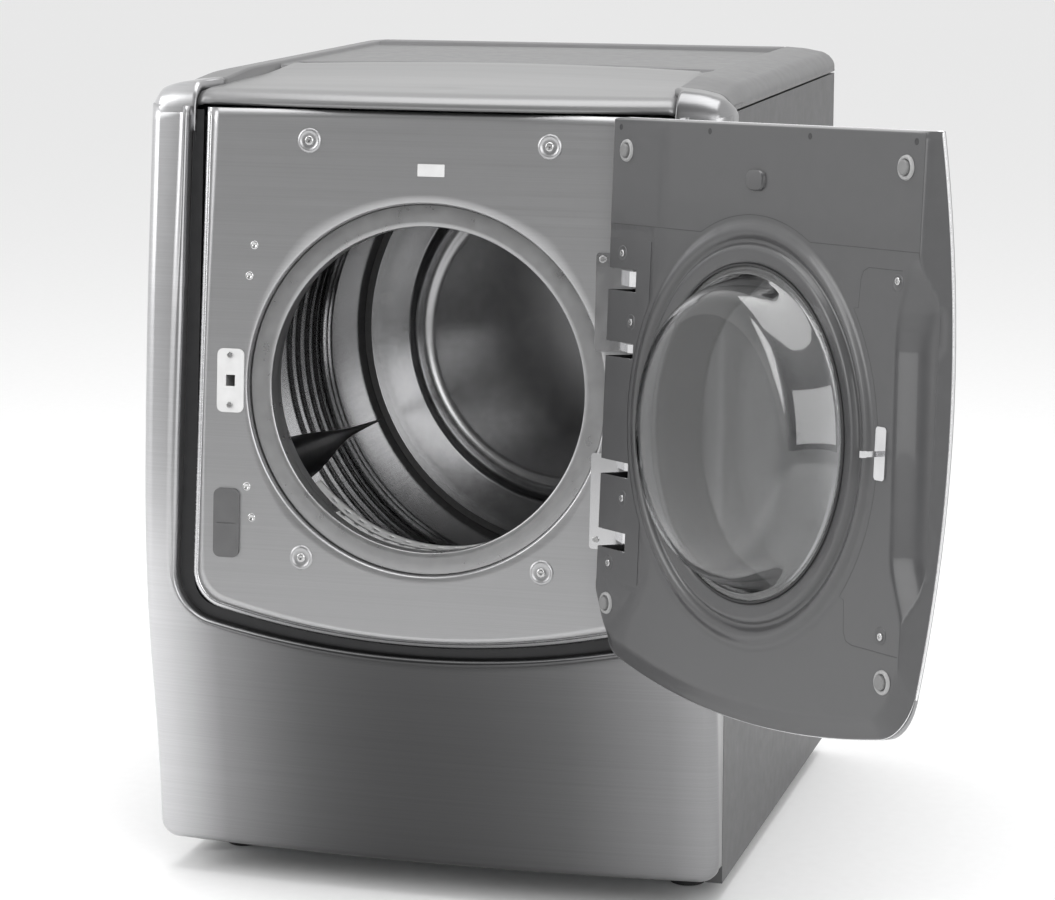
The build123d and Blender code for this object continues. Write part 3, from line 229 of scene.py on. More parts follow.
CAD_FINISH = {
    "front_frame": "steel_front_painted_reflection", "recess_channel": "black_plastic", "front_panel": "steel_panel",
    "opening_ring": "ring_paint", "side_panel_left": "side_paint", "side_panel_right": "side_paint",
    "rear_panel": "galvanised", "base_pan": "galvanised", "top_cover": "top_paint", "top_lip": "lip_paint",
    "front_bulkhead": "ring_paint", "rear_bulkhead": "rear_steel", "drum_seals": "felt", "lint_duct": "black_plastic",
    "lint_grille": "light_plastic", "moisture_bars": "screw_steel", "drum_lamp": "lamp_glass",
    "latch": "light_plastic", "cover_plate": "plate_plastic", "label_plate": "light_plastic",
    "hinge_brackets": "chrome", "panel_screws": "screw_steel", "control_board": "board_green",
    "terminal_cover": "galvanised", "heater_box": "galvanised", "exhaust_duct": "galvanised",
    "blower_housing": "black_plastic", "motor": "iron", "idler_bracket": "galvanised", "roller_axles": "screw_steel",
    "belt": "rubber", "drum": "drum_steel", "lifters": "black_plastic", "rotor": "galvanised",
    "idler_arm": "galvanised", "idler_pulley": "light_plastic", "roller_left": "rubber", "roller_right": "rubber",
    "lint_filter": "light_plastic", "foot_front_left": "rubber", "foot_rear_left": "rubber",
    "foot_front_right": "rubber", "foot_rear_right": "rubber", "door_skin": "steel_front_painted_reflection",
    "door_liner": "liner_plastic", "door_upper_liner": "liner_plastic", "door_hinge_cover": "cover_plastic",
    "door_handle_cover": "cover_plastic", "door_outer_glass": "smoked_glass", "door_bowl": "bowl_glass",
    "door_window_ring": "black_plastic", "door_seal": "rubber", "door_bumpers": "soft_grey", "door_hook": "chrome",
    "hinge_leaves": "chrome", "door_screws": "screw_steel", "control_fascia": "fascia_gloss",
    "cycle_dial": "knob_steel", "power_button": "knob_steel", "start_button": "knob_steel",
}
for node, finish in CAD_FINISH.items():
    target = frame["nodes"][node]
    target.data.materials.clear()
    target.data.materials.append(MATERIALS[finish])


# ------------------------------------------------------------------ mesh helpers
def clamp(value):
    return min(max(value, 0), 1)


def ease(value):
    """Smooth step from 0 to 1."""
    t = clamp(value)
    return t * t * (3 - 2 * t)


def add_piece(name, body, finish, slot, replaces, verts, faces, thickness=0.0, offset=-1.0):
    """Smooth mesh piece on a body; thickness gives the sheet two sides."""
    mesh = bpy.data.meshes.new(name)
    mesh.from_pydata([tuple(v) for v in verts], [], faces)
    mesh.validate()
    mesh.polygons.foreach_set("use_smooth", [True] * len(mesh.polygons))
    piece = bpy.data.objects.new(name, mesh)
    bpy.context.scene.collection.objects.link(piece)
    mesh.materials.append(MATERIALS[finish])
    if thickness:
        solid = piece.modifiers.new("thickness", "SOLIDIFY")
        solid.thickness = thickness
        solid.offset = offset
    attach(piece, body)
    if replaces:
        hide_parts(*replaces)


def sheet_grid(rows, closed=False):
    """Vertices and quads from rows of points of equal length."""
    count = len(rows[0])
    verts = [p for row in rows for p in row]
    faces = []
    span = count if closed else count - 1
    for i in range(len(rows) - 1):
        for j in range(span):
            k = (j + 1) % count
            faces.append((i * count + j, i * count + k, (i + 1) * count + k, (i + 1) * count + j))
    return verts, faces


def flip(faces):
    return [tuple(reversed(f)) for f in faces]


def revolve_rows(profile, place, count=192):
    """Rows of points of a turned profile; place(across, up, height) gives the world point."""
    rows = []
    for r, h in profile:
        rows.append([place(r * math.cos(a), r * math.sin(a), h)
                     for a in (2 * math.pi * i / count for i in range(count))])
    return rows


def around(place, u0, v0, n0=0.0):
    """The same placing function about another centre."""
    return lambda a, b, h: place(u0 + a, v0 + b, n0 + h)


def round_drum(a, b, h):
    return in_drum(a, h, b)


def turned_piece(name, body, finish, slot, replaces, profile, place, count=192, turned_over=True, capped=False,
                 **sheet):
    """A piece of revolution; capped closes its last row with one flat face."""
    verts, faces = sheet_grid(revolve_rows(profile, place, count), closed=True)
    if capped:
        faces.append(tuple(range(len(verts) - count, len(verts))))
    add_piece(name, body, finish, slot, replaces, verts, flip(faces) if turned_over else faces, **sheet)


def face_centre(verts, face):
    """The middle of a four-sided face."""
    return sum((verts[i] for i in face), Vector()) / 4


def smooth_profile(points, steps=6):
    """Rounds the corners of a profile of (x, y) or (x, y, radius) with short quadratic curves."""
    result = [points[0]]
    for i in range(1, len(points) - 1):
        a, b, c = (np.array(p[:2], float) for p in points[i - 1:i + 2])
        radius = points[i][2] if len(points[i]) > 2 else 0
        if radius <= 0:
            result.append(tuple(b))
            continue
        before = b + (a - b) / np.linalg.norm(a - b) * min(radius, np.linalg.norm(a - b) * 0.49)
        after = b + (c - b) / np.linalg.norm(c - b) * min(radius, np.linalg.norm(c - b) * 0.49)
        for k in range(steps + 1):
            t = k / steps
            result.append(tuple((1 - t) ** 2 * before + 2 * t * (1 - t) * b + t ** 2 * after))
    result.append(points[-1])
    return [tuple(p[:2]) for p in result]


def rounded_u(top, half_top, half_low, low_side, low_middle, corner, counts=(46, 14, 60)):
    """Points of the U outline from the left top down, round the corner, along the sag and up again."""
    side_n, corner_n, low_n = counts
    radius = (half_low ** 2 + (low_side - low_middle) ** 2) / (2 * max(low_side - low_middle, 1e-6))
    centre_v = low_middle + radius

    def low_at(u):
        return centre_v - math.sqrt(radius ** 2 - u ** 2)

    def half_at(v):
        return half_top + (half_low - half_top) * (top - v) / (top - low_side)

    start = np.array([-half_at(low_side + corner), low_side + corner])
    end = np.array([-half_low + corner, low_at(half_low - corner)])
    knee = np.array([-half_low, low_side - 0.06 * corner])
    left = [np.array([-half_at(v), v]) for v in np.linspace(top, start[1], side_n)]
    bend = []
    knee_weight = 0.78
    for t in np.linspace(0, 1, corner_n)[1:-1]:
        a, b, c = (1 - t) ** 2, 2 * knee_weight * t * (1 - t), t ** 2
        bend.append((a * start + b * knee + c * end) / (a + b + c))
    low = [np.array([u, low_at(u)]) for u in np.linspace(end[0], -end[0], low_n)]
    half = left + bend
    mirrored = [np.array([-p[0], p[1]]) for p in reversed(half)]
    return np.array(half + low + mirrored)


def offset_path(path, distance):
    """Moves an open outline sideways; positive goes away from the recess."""
    tangent = np.gradient(path, axis=0)
    tangent /= np.linalg.norm(tangent, axis=1)[:, None]
    normal = np.stack([tangent[:, 1], -tangent[:, 0]], axis=1)
    return path + normal * distance


def swept_tube(name, body, finish, points, radius):
    """A thin bead along world points."""
    curve = bpy.data.curves.new(name, "CURVE")
    curve.dimensions = "3D"
    curve.bevel_depth = radius * MM
    curve.bevel_resolution = 2
    spline = curve.splines.new("POLY")
    spline.points.add(len(points) - 1)
    for target, p in zip(spline.points, points):
        target.co = (*p, 1)
    piece = bpy.data.objects.new(name, curve)
    bpy.context.scene.collection.objects.link(piece)
    curve.materials.append(MATERIALS[finish])
    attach(piece, body)


# ------------------------------------------------------------------ front frame
PROFILE_Z = [PROFILE_LOW, 157, 316, 422, 500, 598, 745, 892, PROFILE_HIGH]
PROFILE_Y = [-97, -104, -125.5, -131, -129, -121.5, -106.5, -87, -75.5]


def spline_value(xs, ys, x):
    """Catmull-Rom through the frame's side profile."""
    i = min(max(np.searchsorted(xs, x) - 1, 0), len(xs) - 2)
    t = (x - xs[i]) / (xs[i + 1] - xs[i])

    def slope(k):
        lo, hi = max(k - 1, 0), min(k + 1, len(xs) - 1)
        return (ys[hi] - ys[lo]) / (xs[hi] - xs[lo])

    gap = xs[i + 1] - xs[i]
    a, b = ys[i], ys[i + 1]
    ma, mb = slope(i) * gap, slope(i + 1) * gap
    return ((2 * t ** 3 - 3 * t ** 2 + 1) * a + (t ** 3 - 2 * t ** 2 + t) * ma
            + (-2 * t ** 3 + 3 * t ** 2) * b + (t ** 3 - t ** 2) * mb)


def face_y(x, z):
    """Depth of the bowed front: the side profile, and a bow of 22 mm across the width."""
    return spline_value(PROFILE_Z, PROFILE_Y, min(max(z, PROFILE_LOW), PROFILE_HIGH)) + 22 * (x / HALF_WIDTH) ** 2


def make_front_frame():
    lip = rounded_u(338, 308.5, 319.5, -287, -329, 50)
    count = len(lip)
    # Outer boundary, matched to the lip: left side, lower corner, bottom, and the mirror of these.
    side_n, corner_n, low_n = 46, 14, 60
    half_face, corner_x, corner_z, corner_top = 352.0, 14, 18, 70
    left = [(-half_face, z) for z in np.linspace(PROFILE_HIGH, corner_top, side_n)]
    bend = [(-half_face + corner_x * (1 - math.cos(a)), corner_top - corner_z * math.sin(a))
            for a in np.linspace(0, math.pi / 2, corner_n)[1:-1]]
    low = [(x, 52.0) for x in np.linspace(-half_face + corner_x, half_face - corner_x, low_n)]
    half = left + bend
    outer = np.array(half + low + [(-x, z) for x, z in reversed(half)])
    rows = []
    # The rolled lip starts inside the channel and comes up and out onto the face.
    roll = [(-1.5, -14), (-1.5, -6), (-0.5, -1.5), (1.5, 1.2), (4.5, 2.6), (8.0, 2.2), (11.5, 0.6)]
    for out, n in roll:
        moved = offset_path(lip, out)
        row = []
        for u, v in moved:
            p = on_panel(u, v, n)
            surface = FRONT + face_y(u, p.z / MM) * MM
            blend = clamp((n + 6) / 8) if out < 1 else 1
            y = p.y * (1 - blend) + min(p.y, surface + 0.002) * blend if out < 8 else surface
            lift = 0.0032 * math.sin(math.pi * clamp((out + 1.5) / 13))
            row.append(Vector((u * MM, y - (lift if out > -1 else 0), p.z)))
        rows.append(row)
    start = offset_path(lip, 16)
    start_z = np.array([on_panel(u, v, 0).z / MM for u, v in start])
    for t in np.linspace(0, 1, 26):
        row = []
        for k in range(count):
            x = start[k][0] * (1 - t) + outer[k][0] * t
            z = start_z[k] * (1 - t) + outer[k][1] * t
            row.append(in_cabinet(x, face_y(x, z), z))
        rows.append(row)
    # Rounded outer corner and the side return to the cabinet's sides.
    for angle in np.linspace(0.2, 1, 6):
        a = angle * math.pi / 2
        row = []
        for k in range(count):
            x, z = outer[k]
            sign = -1 if x < 0 else 1
            side_share = clamp((abs(x) - 330) / 20)
            low_share = clamp((72 - z) / 20)
            grow_x = sign * 15 * math.sin(a) * side_share
            drop_z = -10 * math.sin(a) * low_share
            y = face_y(x, z) + 16 * (1 - math.cos(a)) + 2.0 * math.sin(a) * side_share
            row.append(in_cabinet(x + grow_x, y, z + drop_z))
        rows.append(row)
    last = rows[-1]
    for share in (0.35, 0.7, 1.0):
        row = []
        for p in last:
            x, z = p.x / MM, p.z / MM
            y = (p.y - FRONT) / MM
            is_side = clamp((abs(x) - 340) / 20) > 0.5
            sign = -1 if x < 0 else 1
            goal_x = sign * HALF_WIDTH if is_side else x
            goal_y = -2.0 if is_side else -60.0
            row.append(in_cabinet(x + (goal_x - x) * share, y + (goal_y - y) * share, z))
        rows.append(row)
    verts, faces = sheet_grid(rows)
    add_piece("front_frame_shell", "cabinet", "steel_front_painted_reflection", "front_frame", ("front_frame",), verts,
              flip(faces), thickness=0.0012)


TOP_HALF = [(150, 1013.5), (287, 1012.5, 2), (291, 1017.5, 3), (322, 1014.5, 8), (346, 1009, 7), (357.7, 996, 7),
            (357.5, 983.5)]
TOP_SECTION = [(-p[0], *p[1:]) for p in reversed(TOP_HALF)] + [(0, 1014)] + TOP_HALF


def rail_drop(y):
    """The side rails dip a little towards the front posts."""
    return 7.0 * (1 - ease(y / 120))


def make_post_caps():
    """Rounded caps that close the tops of the two front posts and run back into the rails."""
    rail = [(x, z) for x, z in smooth_profile(TOP_SECTION) if x > 288.5]
    rail_in, rail_out = 289, 357.7
    base, bend_low, bend_depth, end_y = 950, 972, 26, 3.0
    for sign, label in ((-1, "left"), (1, "right")):
        rows = []
        for x, z_rail in rail:
            share = (x - rail_in) / (rail_out - rail_in)
            front_x = 303.5 + share * 64
            edge = face_y(min(front_x, 358), PROFILE_HIGH) + max(front_x - 350, 0) ** 2 / 16
            top = z_rail - 8.5 - 3 * share ** 3
            row = [in_cabinet(sign * front_x, edge, base), in_cabinet(sign * front_x, edge, bend_low)]
            for angle in np.linspace(0.12, 1, 9):
                a = angle * math.pi / 2
                row.append(in_cabinet(sign * front_x, edge + bend_depth * (1 - math.cos(a)),
                                      bend_low + (top - bend_low) * math.sin(a)))
            for t in np.linspace(0.15, 1, 8):
                y = edge + bend_depth + (end_y - edge - bend_depth) * t
                eased = ease(t)
                xx = front_x + (x - front_x) * eased
                row.append(in_cabinet(sign * xx, y, top + (z_rail - rail_drop(y) - top) * eased))
            rows.append(row)
        rows.insert(0, [Vector((p.x, p.y, p.z - 0.016)) for p in rows[0]])
        verts, faces = sheet_grid(rows)
        add_piece("post_cap_" + label, "cabinet", "steel_front_painted_reflection", "front_frame", (), verts,
                  flip(faces) if sign < 0 else faces, thickness=0.0012)


# ------------------------------------------------------------------ recessed panel and opening
def make_front_panel():
    flat = rounded_u(PANEL_TOP, 279, 290.5, -268, -308.5, 33)
    hole = 230.2
    # Close the outline across the top so that it can be matched to the round hole.
    top_u = np.linspace(flat[-1][0], flat[0][0], 60)[1:-1]
    ring = np.concatenate([flat, [(u, PANEL_TOP) for u in top_u]])
    angles = np.unwrap(np.arctan2(ring[:, 1], ring[:, 0]))
    rows = []
    for r, n in ((226.5, -7), (227.5, -2.8), (228.6, -0.8), (hole, 0)):
        rows.append([on_panel(r * math.cos(a), r * math.sin(a), n) for a in angles])
    for t in np.linspace(0, 1, 14)[1:]:
        rows.append([on_panel(hole * math.cos(a) * (1 - t) + u * t, hole * math.sin(a) * (1 - t) + v * t, 0)
                     for a, (u, v) in zip(angles, ring)])
    verts, faces = sheet_grid(rows, closed=True)
    # The catch's hole, under its plate.
    catch, half_wide, half_high = on_panel(-249.5, 1, 0), 0.009, 0.013
    from_catch = [face_centre(verts, f) - catch for f in faces]
    faces = [f for f, away in zip(faces, from_catch)
             if abs(away.dot(AXIS_U)) > half_wide or abs(away.dot(AXIS_V)) > half_high]
    add_piece("front_panel_face", "cabinet", "steel_panel", "front_panel", ("front_panel",), verts, flip(faces),
              thickness=0.0010)
    rows = []
    for out, n in ((0, 0), (2.5, -0.15), (5, -0.8), (6.8, -2.2), (7.8, -4.4), (8.3, -7.5), (8.4, -13)):
        widened = offset_path(flat, out * 0.95)
        rows.append([on_panel(u, v, n) for u, v in widened])
    verts, faces = sheet_grid(rows)
    add_piece("front_panel_bevel", "cabinet", "bevel_steel_painted_reflection", "front_panel", (), verts, flip(faces), thickness=0.0010)


def make_dimples():
    """Round pressed bosses, each with a screw in the middle."""
    for index, (u0, v0) in enumerate(((151.8, 299.7), (-151.8, 299.7), (153.8, -213.5), (-153.8, -213.5))):
        boss = smooth_profile([(15.5, -0.4), (14.6, 1.0, 1.0), (12.2, 2.0, 1.0), (9.4, 0.7, 1.2), (5.6, 0.5)])
        turned_piece("dimple_%d" % index, "cabinet", "steel_panel", "front_panel", (), boss,
                     around(on_panel, u0, v0), 48, False)
        head = smooth_profile([(6.2, 0.4), (5.8, 1.8, 0.6), (4.2, 3.0, 0.8), (2.6, 3.1, 0.4), (2.2, 1.4, 0.3),
                               (0.2, 1.3)])
        turned_piece("boss_screw_%d" % index, "cabinet", "screw_steel", "front_panel", (), head,
                     around(on_panel, u0, v0), 40, False)
    for index, (u0, v0) in enumerate(((-221, 170), (-227, 132), (-227, -129), (-220, -167.5))):
        profile = [(5.2, 0.1), (4.4, 0.9), (3.0, 0.8), (2.2, 0.1), (0.2, 0.05)]
        turned_piece("spare_hole_%d" % index, "cabinet", "screw_steel", "front_panel", (), profile,
                     around(on_panel, u0, v0), 32, False)


def make_opening_ring():
    profile = smooth_profile([(199.3, -30), (199.3, -10.0, 2.0), (204, -8.8, 2), (216, -8.6, 3), (226.6, -8.8, 1.6),
                              (227.6, -14, 1), (231.5, -14, 1), (231.6, -8)])
    turned_piece("opening_ring_shell", "cabinet", "ring_paint", "opening_ring", ("opening_ring",), profile, on_panel,
                 thickness=0.0010)


# ------------------------------------------------------------------ drum
def make_drum():
    radius, first, last, step = 318.0, 60, 742, 2.0
    ribs = [118, 150, 182, 216, 250, 284, 400, 434, 470, 500]
    deep_ribs = [538, 556]
    profile = [(radius, first)]
    s = first + step
    while s < last:
        r = radius
        for place in ribs:
            r -= 4.6 * math.exp(-((s - place) / 5.0) ** 2)
        for place in deep_ribs:
            r -= 8.0 * math.exp(-((s - place) / 4.5) ** 2)
        profile.append((r, s))
        s += step
    profile.append((radius, last))
    turned_piece("drum_wall", "drum_set", "drum_steel", "drum", ("drum",), profile, round_drum, 144,
                 thickness=0.0010, offset=1)


def make_rear_wall():
    profile = smooth_profile([(334, 748), (306, 747.5, 6), (252, 747.5, 8), (243, 716, 12), (225, 713.5, 13),
                              (212, 718, 6), (120, 717.5, 8), (60, 717.5)])
    turned_piece("rear_wall_face", "cabinet", "rear_steel", "rear_bulkhead", (), profile, round_drum, 144,
                 capped=True)


def make_lifters():
    """Curved black lifters: broad at the front, with an S-shaped lower flank, drawn out to a point."""
    seat, front, back = 311.0, 66, 700
    for index, angle in enumerate((-154.6, -34.6, 85.4)):
        turn = math.radians(angle)
        rows = []
        for s in np.linspace(front, back, 60):
            t = (s - front) / (back - front)
            swell = 1 / (1 + math.exp((t - 0.60) * 13))
            tail = max(1 - t, 0) ** 0.8
            ramp = 1 - math.exp(-t * 60)
            height = (13 * tail + 41 * swell) * ramp + 1.0
            low_side = (9 * tail + 33 * swell) * ramp + 0.8
            high_side = (10 * tail + 15 * swell) * ramp + 0.8
            row = []
            for k in range(25):
                across = -1 + 2 * k / 24
                bump = max(1 - abs(across) ** 2.6, 0) ** 0.72
                w = across * (high_side if across < 0 else low_side) * (1.1 - 0.28 * bump)
                r = seat + 3 - height * bump
                row.append(in_drum(r * math.cos(turn) - w * math.sin(turn), s,
                                   r * math.sin(turn) + w * math.cos(turn)))
            rows.append(row)
        verts, faces = sheet_grid(rows)
        add_piece("lifter_%d" % index, "drum_set", "black_plastic", "lifters", ("lifters",), verts, faces)


def make_grille():
    """Curved air grille under the front of the drum, with rows of slots."""
    radius = 205.0
    angles = np.linspace(math.radians(-141), math.radians(-58), 84)
    places = [34, 43, 50, 58, 65, 72, 79, 86, 92]
    rows = []
    for k, s in enumerate(places):
        row = []
        for i, a in enumerate(angles):
            reach = 0.70 + 0.30 * math.sin(math.pi * clamp((i + 4) / 91)) ** 0.5
            step = places[0] + (s - places[0]) * reach
            row.append(in_drum(radius * math.cos(a), step, radius * math.sin(a) - (0.0 if k else 1.5)))
        rows.append(row)
    verts, faces = sheet_grid(rows)
    count = len(angles) - 1
    kept = []
    for index, face in enumerate(faces):
        line, column = divmod(index, count)
        if line in (2, 5) and column % 6 in (2, 3) and column > 4:
            continue
        kept.append(face)
    add_piece("grille_shell", "cabinet", "light_plastic", "lint_grille", ("lint_grille",), verts, flip(kept),
              thickness=0.002, offset=1)
    back = [[in_drum((radius + 3) * math.cos(a), s, (radius + 3) * math.sin(a)) for a in angles] for s in (36, 56, 72)]
    verts, faces = sheet_grid(back)
    add_piece("grille_shadow", "cabinet", "black_plastic", "lint_grille", (), verts, flip(faces))


# ------------------------------------------------------------------ top
def lip_front(x):
    return -68 + 18 * (x / 303) ** 2


def lip_back(x):
    return 288 - 83 * (x / 280) ** 2


def make_top_lip():
    """Curved lip: its rounded front edge, then the sheet that runs back under the cover."""
    rows = []
    stations = [(-0.004, 983), (-0.008, 987), (0.0, 991), (0.012, 994.5), (0.03, 997.3), (0.045, 998.6)]
    for along, z in stations:
        row = []
        for s in np.linspace(-1, 1, 61):
            half = 303 - 23 * max(along, 0)
            x = s * half
            edge = 3 * (1 - min(1, (1 - abs(s)) * 30))
            y = lip_front(x) + along * (lip_back(x * 280 / 303) - lip_front(x))
            row.append(in_cabinet(x, y, z - edge))
        rows.append(row)
    for along in np.linspace(0.06, 1.0, 26):
        row = []
        for s in np.linspace(-1, 1, 61):
            half = 303 - 23 * along
            x = s * half
            back = lip_back(s * 280)
            y = lip_front(x) + along * (back - lip_front(x))
            z = 999 + 5.5 * (1 - (1 - min(along / 0.62, 1)) ** 1.5) + 9 * max((along - 0.60) / 0.40, 0) ** 1.3
            smile = 1.6 * math.exp(-((x / 26) ** 2)) * math.exp(-(((along - 0.2) / 0.05) ** 2))
            edge = 4 * (1 - min(1, (1 - abs(s)) * 30))
            row.append(in_cabinet(x, y, z - smile - edge))
        rows.append(row)
    row = [Vector((p.x, p.y + 0.001, p.z - 0.004)) for p in rows[-1]]
    rows.append(row)
    verts, faces = sheet_grid(rows)
    add_piece("top_lip_shell", "cabinet", "lip_paint", "top_lip", ("top_lip",), verts, flip(faces), thickness=0.0015)


def make_top_cover():
    """Raised side rails and a lower centre, cut back to the lip's curve and rounded over at the rear."""
    section = smooth_profile(TOP_SECTION)
    rows = []
    stations = [*np.linspace(2, 200, 14), *np.linspace(208, 300, 14), 400, 500, 612, 616, 620, 660, 674, 680, 683.2,
                683.7]
    for y in stations:
        row = []
        for x, z in section:
            inner = abs(x) < 288
            zz = z if z < 990 else z - rail_drop(y)
            if inner and y > 614:
                zz = 1017 if y > 617 else 1013
            if y > 672:
                zz = min(zz, 1017 - ((y - 672) / 11.7) ** 2 * 12)
            if inner and y < lip_back(x) + 2:
                zz = min(zz, 994)
            if inner and y < 206:
                zz = 990
            row.append(in_cabinet(x, y, zz))
        rows.append(row)
    back = [Vector((p.x, in_cabinet(0, 683.7, 0).y, 0.9835)) for p in rows[-1]]
    rows.append(back)
    verts, faces = sheet_grid(rows)
    add_piece("top_cover_shell", "cabinet", "top_paint", "top_cover", ("top_cover",), verts, faces, thickness=0.0012)


# ------------------------------------------------------------------ door
def rim_height(v):
    return 60 - 28 * ((v - 35) / 290) ** 2


SLOT_PLACES = [(148.0, 13.0), (66.0, 9.0), (-74.0, 9.0), (-159.0, 11.0)]


def door_ring_points(inset, count_top=70):
    """The door's closed outline, a distance in from its edge."""
    outline = rounded_u(PANEL_TOP - inset, 299 - inset, 299 - inset, -290 + inset, -325 + inset, 46 - inset * 0.5,
                        (150, 16, 70))
    top_u = np.linspace(outline[-1][0], outline[0][0], count_top)[1:-1]
    return np.concatenate([outline, [(u, PANEL_TOP - inset) for u in top_u]])


def valley_depth(u, v):
    """Depth of the finger valley on the latch side."""
    edge = np.interp(v, [-205, -184, -160, -145, -120, -106, 60, 110, 132, 150, 165, 190, 212],
                     [-306, -299, -291, -284, -274, -271, -264, -262, -263, -266, -270, -277, -284])
    inside = edge - u
    if inside <= 0:
        return 0.0
    fade = ease((v + 206) / 40) * ease((213 - v) / 62)
    return 30.0 * fade * (1 - math.exp(-(inside / 15.0) ** 1.7))


def border_depth(v, inward):
    """How far the liner's edge has rolled back at a distance in from the rim."""
    low = ease((-215 - v) / 60)
    width = 7.0 + 17.0 * low
    t = clamp(1 - inward / width)
    room = rim_height(v) - SKIN_SHEET - LINER_N
    roll = room * (0.9 * low) * t ** 1.3
    last = clamp(1 - inward / 2.6)
    return roll + (room - roll) * (1 - math.sqrt(max(1 - last * last, 0)))


def in_slot(u, v, n):
    return u > 236 and n < 50 and any(abs(v - place) < half for place, half in SLOT_PLACES)


def make_door_liner():
    """Moulded liner: stepped rings round the window, the finger valley, and a rolled edge."""
    ring_profile = [(187.5, 9), (187.5, 5.0), (189.5, 3.4), (193, 2.6), (198, 2.0), (202, 1.2), (205, 1.0),
                    (207.5, 2.4), (209.5, 6.2), (211.5, 8.2), (214, 8.2), (216, 6.0), (218.5, 3.6), (221.5, 2.6),
                    (225, 2.5), (228, 3.2), (231, 5.2), (234, 6.6), (237, 6.9), (240, 6.5)]
    rim = door_ring_points(0.4)
    corner = np.array([abs(u) > 288.5 and v > 327 and not (abs(v - 336.6) < 0.01 and abs(u) > 298.5)
                       for u, v in rim])
    rim = rim[~corner]
    # Rows of the outline where the hinge slots start and end are moved onto the slots' edges.
    for index, (u, v) in enumerate(rim):
        if u > 290:
            for place, half in SLOT_PLACES:
                for edge in (place - half, place + half):
                    if abs(v - edge) < 2.15:
                        rim[index][1] = edge
    tangent = np.roll(rim, -1, axis=0) - np.roll(rim, 1, axis=0)
    tangent /= np.linalg.norm(tangent, axis=1)[:, None]
    outward = np.stack([tangent[:, 1], -tangent[:, 0]], axis=1)
    low = np.array([ease((-215 - v) / 60) for v in rim[:, 1]])
    widths = 9.0 + 18.0 * low

    def inset_rim(share):
        moved = rim - outward * (widths * share)[:, None]
        limit_u = 298.6 - widths * share
        moved[:, 0] = np.clip(moved[:, 0], -limit_u, limit_u)
        moved[:, 1] = np.minimum(moved[:, 1], 336.6 - widths * share)
        return moved

    inner = inset_rim(1.0)
    angles = np.unwrap(np.arctan2(inner[:, 1] - WINDOW_V, inner[:, 0]))
    flat_rows = []
    for r, n in ring_profile:
        flat_rows.append([(r * math.cos(a), WINDOW_V + r * math.sin(a), n) for a in angles])
    for t in np.linspace(0, 1, 44)[1:]:
        t = t ** 0.8
        row = []
        for a, (u, v) in zip(angles, inner):
            uu = 240 * math.cos(a) * (1 - t) + u * t
            vv = (WINDOW_V + 240 * math.sin(a)) * (1 - t) + v * t
            row.append((uu, vv, LINER_N + valley_depth(uu, vv)))
        flat_rows.append(row)
    for share in (0.88, 0.76, 0.64, 0.54, 0.44, 0.35, 0.27, 0.20, 0.14, 0.09, 0.05, 0.02, 0.0):
        row = []
        for (uu, vv), (u, v), width in zip(inset_rim(share), rim, widths):
            depth = max(valley_depth(uu, vv), border_depth(vv, width * share))
            row.append((uu, vv, min(LINER_N + depth, rim_height(v) - SKIN_SHEET)))
        flat_rows.append(row)
    flat_verts, faces = sheet_grid(flat_rows, closed=True)
    kept = []
    for face in faces:
        u, v, n = np.mean([flat_verts[i] for i in face], axis=0)
        covered = 214 < u < 286 and -198 < v < 189 and math.hypot(u, v - WINDOW_V) > 249
        if covered or in_slot(u, v, n):
            continue
        kept.append(face)
    # Under the hinge cover the liner steps back by half a millimetre.
    verts = [on_door(u, v, n + (0.5 if u > 204 and abs(v) < 210 and math.hypot(u, v - WINDOW_V) > 242 else 0))
             for u, v, n in flat_verts]
    add_piece("door_liner_shell", "door", "liner_plastic", "door_liner",
              ("door_liner", "door_upper_liner", "door_handle_cover"), verts, kept)


def make_door_skin_edge():
    rows = []
    for inset, drop in ((2.6, 4.4), (0.4, 4.6), (-0.3, 3.4), (-0.4, 1.4), (0.6, 0.0), (3.0, -1.4)):
        border = door_ring_points(inset)
        rows.append([on_door(u, v, rim_height(v) - drop) for u, v in border])
    verts, faces = sheet_grid(rows, closed=True)
    kept = []
    for face in faces:
        local = DOOR_TO_CLOSED @ face_centre(verts, face) - OPENING
        u, v = local.x / MM, local.dot(AXIS_V) / MM
        if not in_slot(u, v, 0):
            kept.append(face)
    add_piece("door_skin_edge", "door", "edge_steel", "door_skin", (), verts, kept)


def make_bowl():
    profile = smooth_profile([(187.2, 6.4), (187.2, 4.2, 1.5), (182, 3.6, 2), (177, 3.8, 3), (172, -4, 12),
                              (158, -37, 14), (144, -45.5, 16), (60, -45.5)], 10)
    window = around(on_door, 0, WINDOW_V)
    turned_piece("door_bowl_glass", "door", "bowl_glass", "door_bowl", ("door_bowl",), profile, window, capped=True,
                 thickness=0.004)
    ring = smooth_profile([(187.6, 8), (187.6, 2.8, 1.2), (185.2, 2.4, 1.0), (184.4, 3.2, .6), (184.2, 5)])
    turned_piece("door_seal_ring", "door", "rubber", "door_seal", ("door_seal",), ring, window)
    # Dark tube between the bowl and the outer glass.
    top = rim_height(WINDOW_V) + 20 - 9
    well = smooth_profile([(188.2, 8.8), (188.2, 12, 1), (184, 20, 6), (178, top - 6, 6), (176, top)])
    turned_piece("door_window_well", "door", "black_plastic", "door_window_ring", ("door_window_ring",), well, window,
                 thickness=0.001, offset=1)


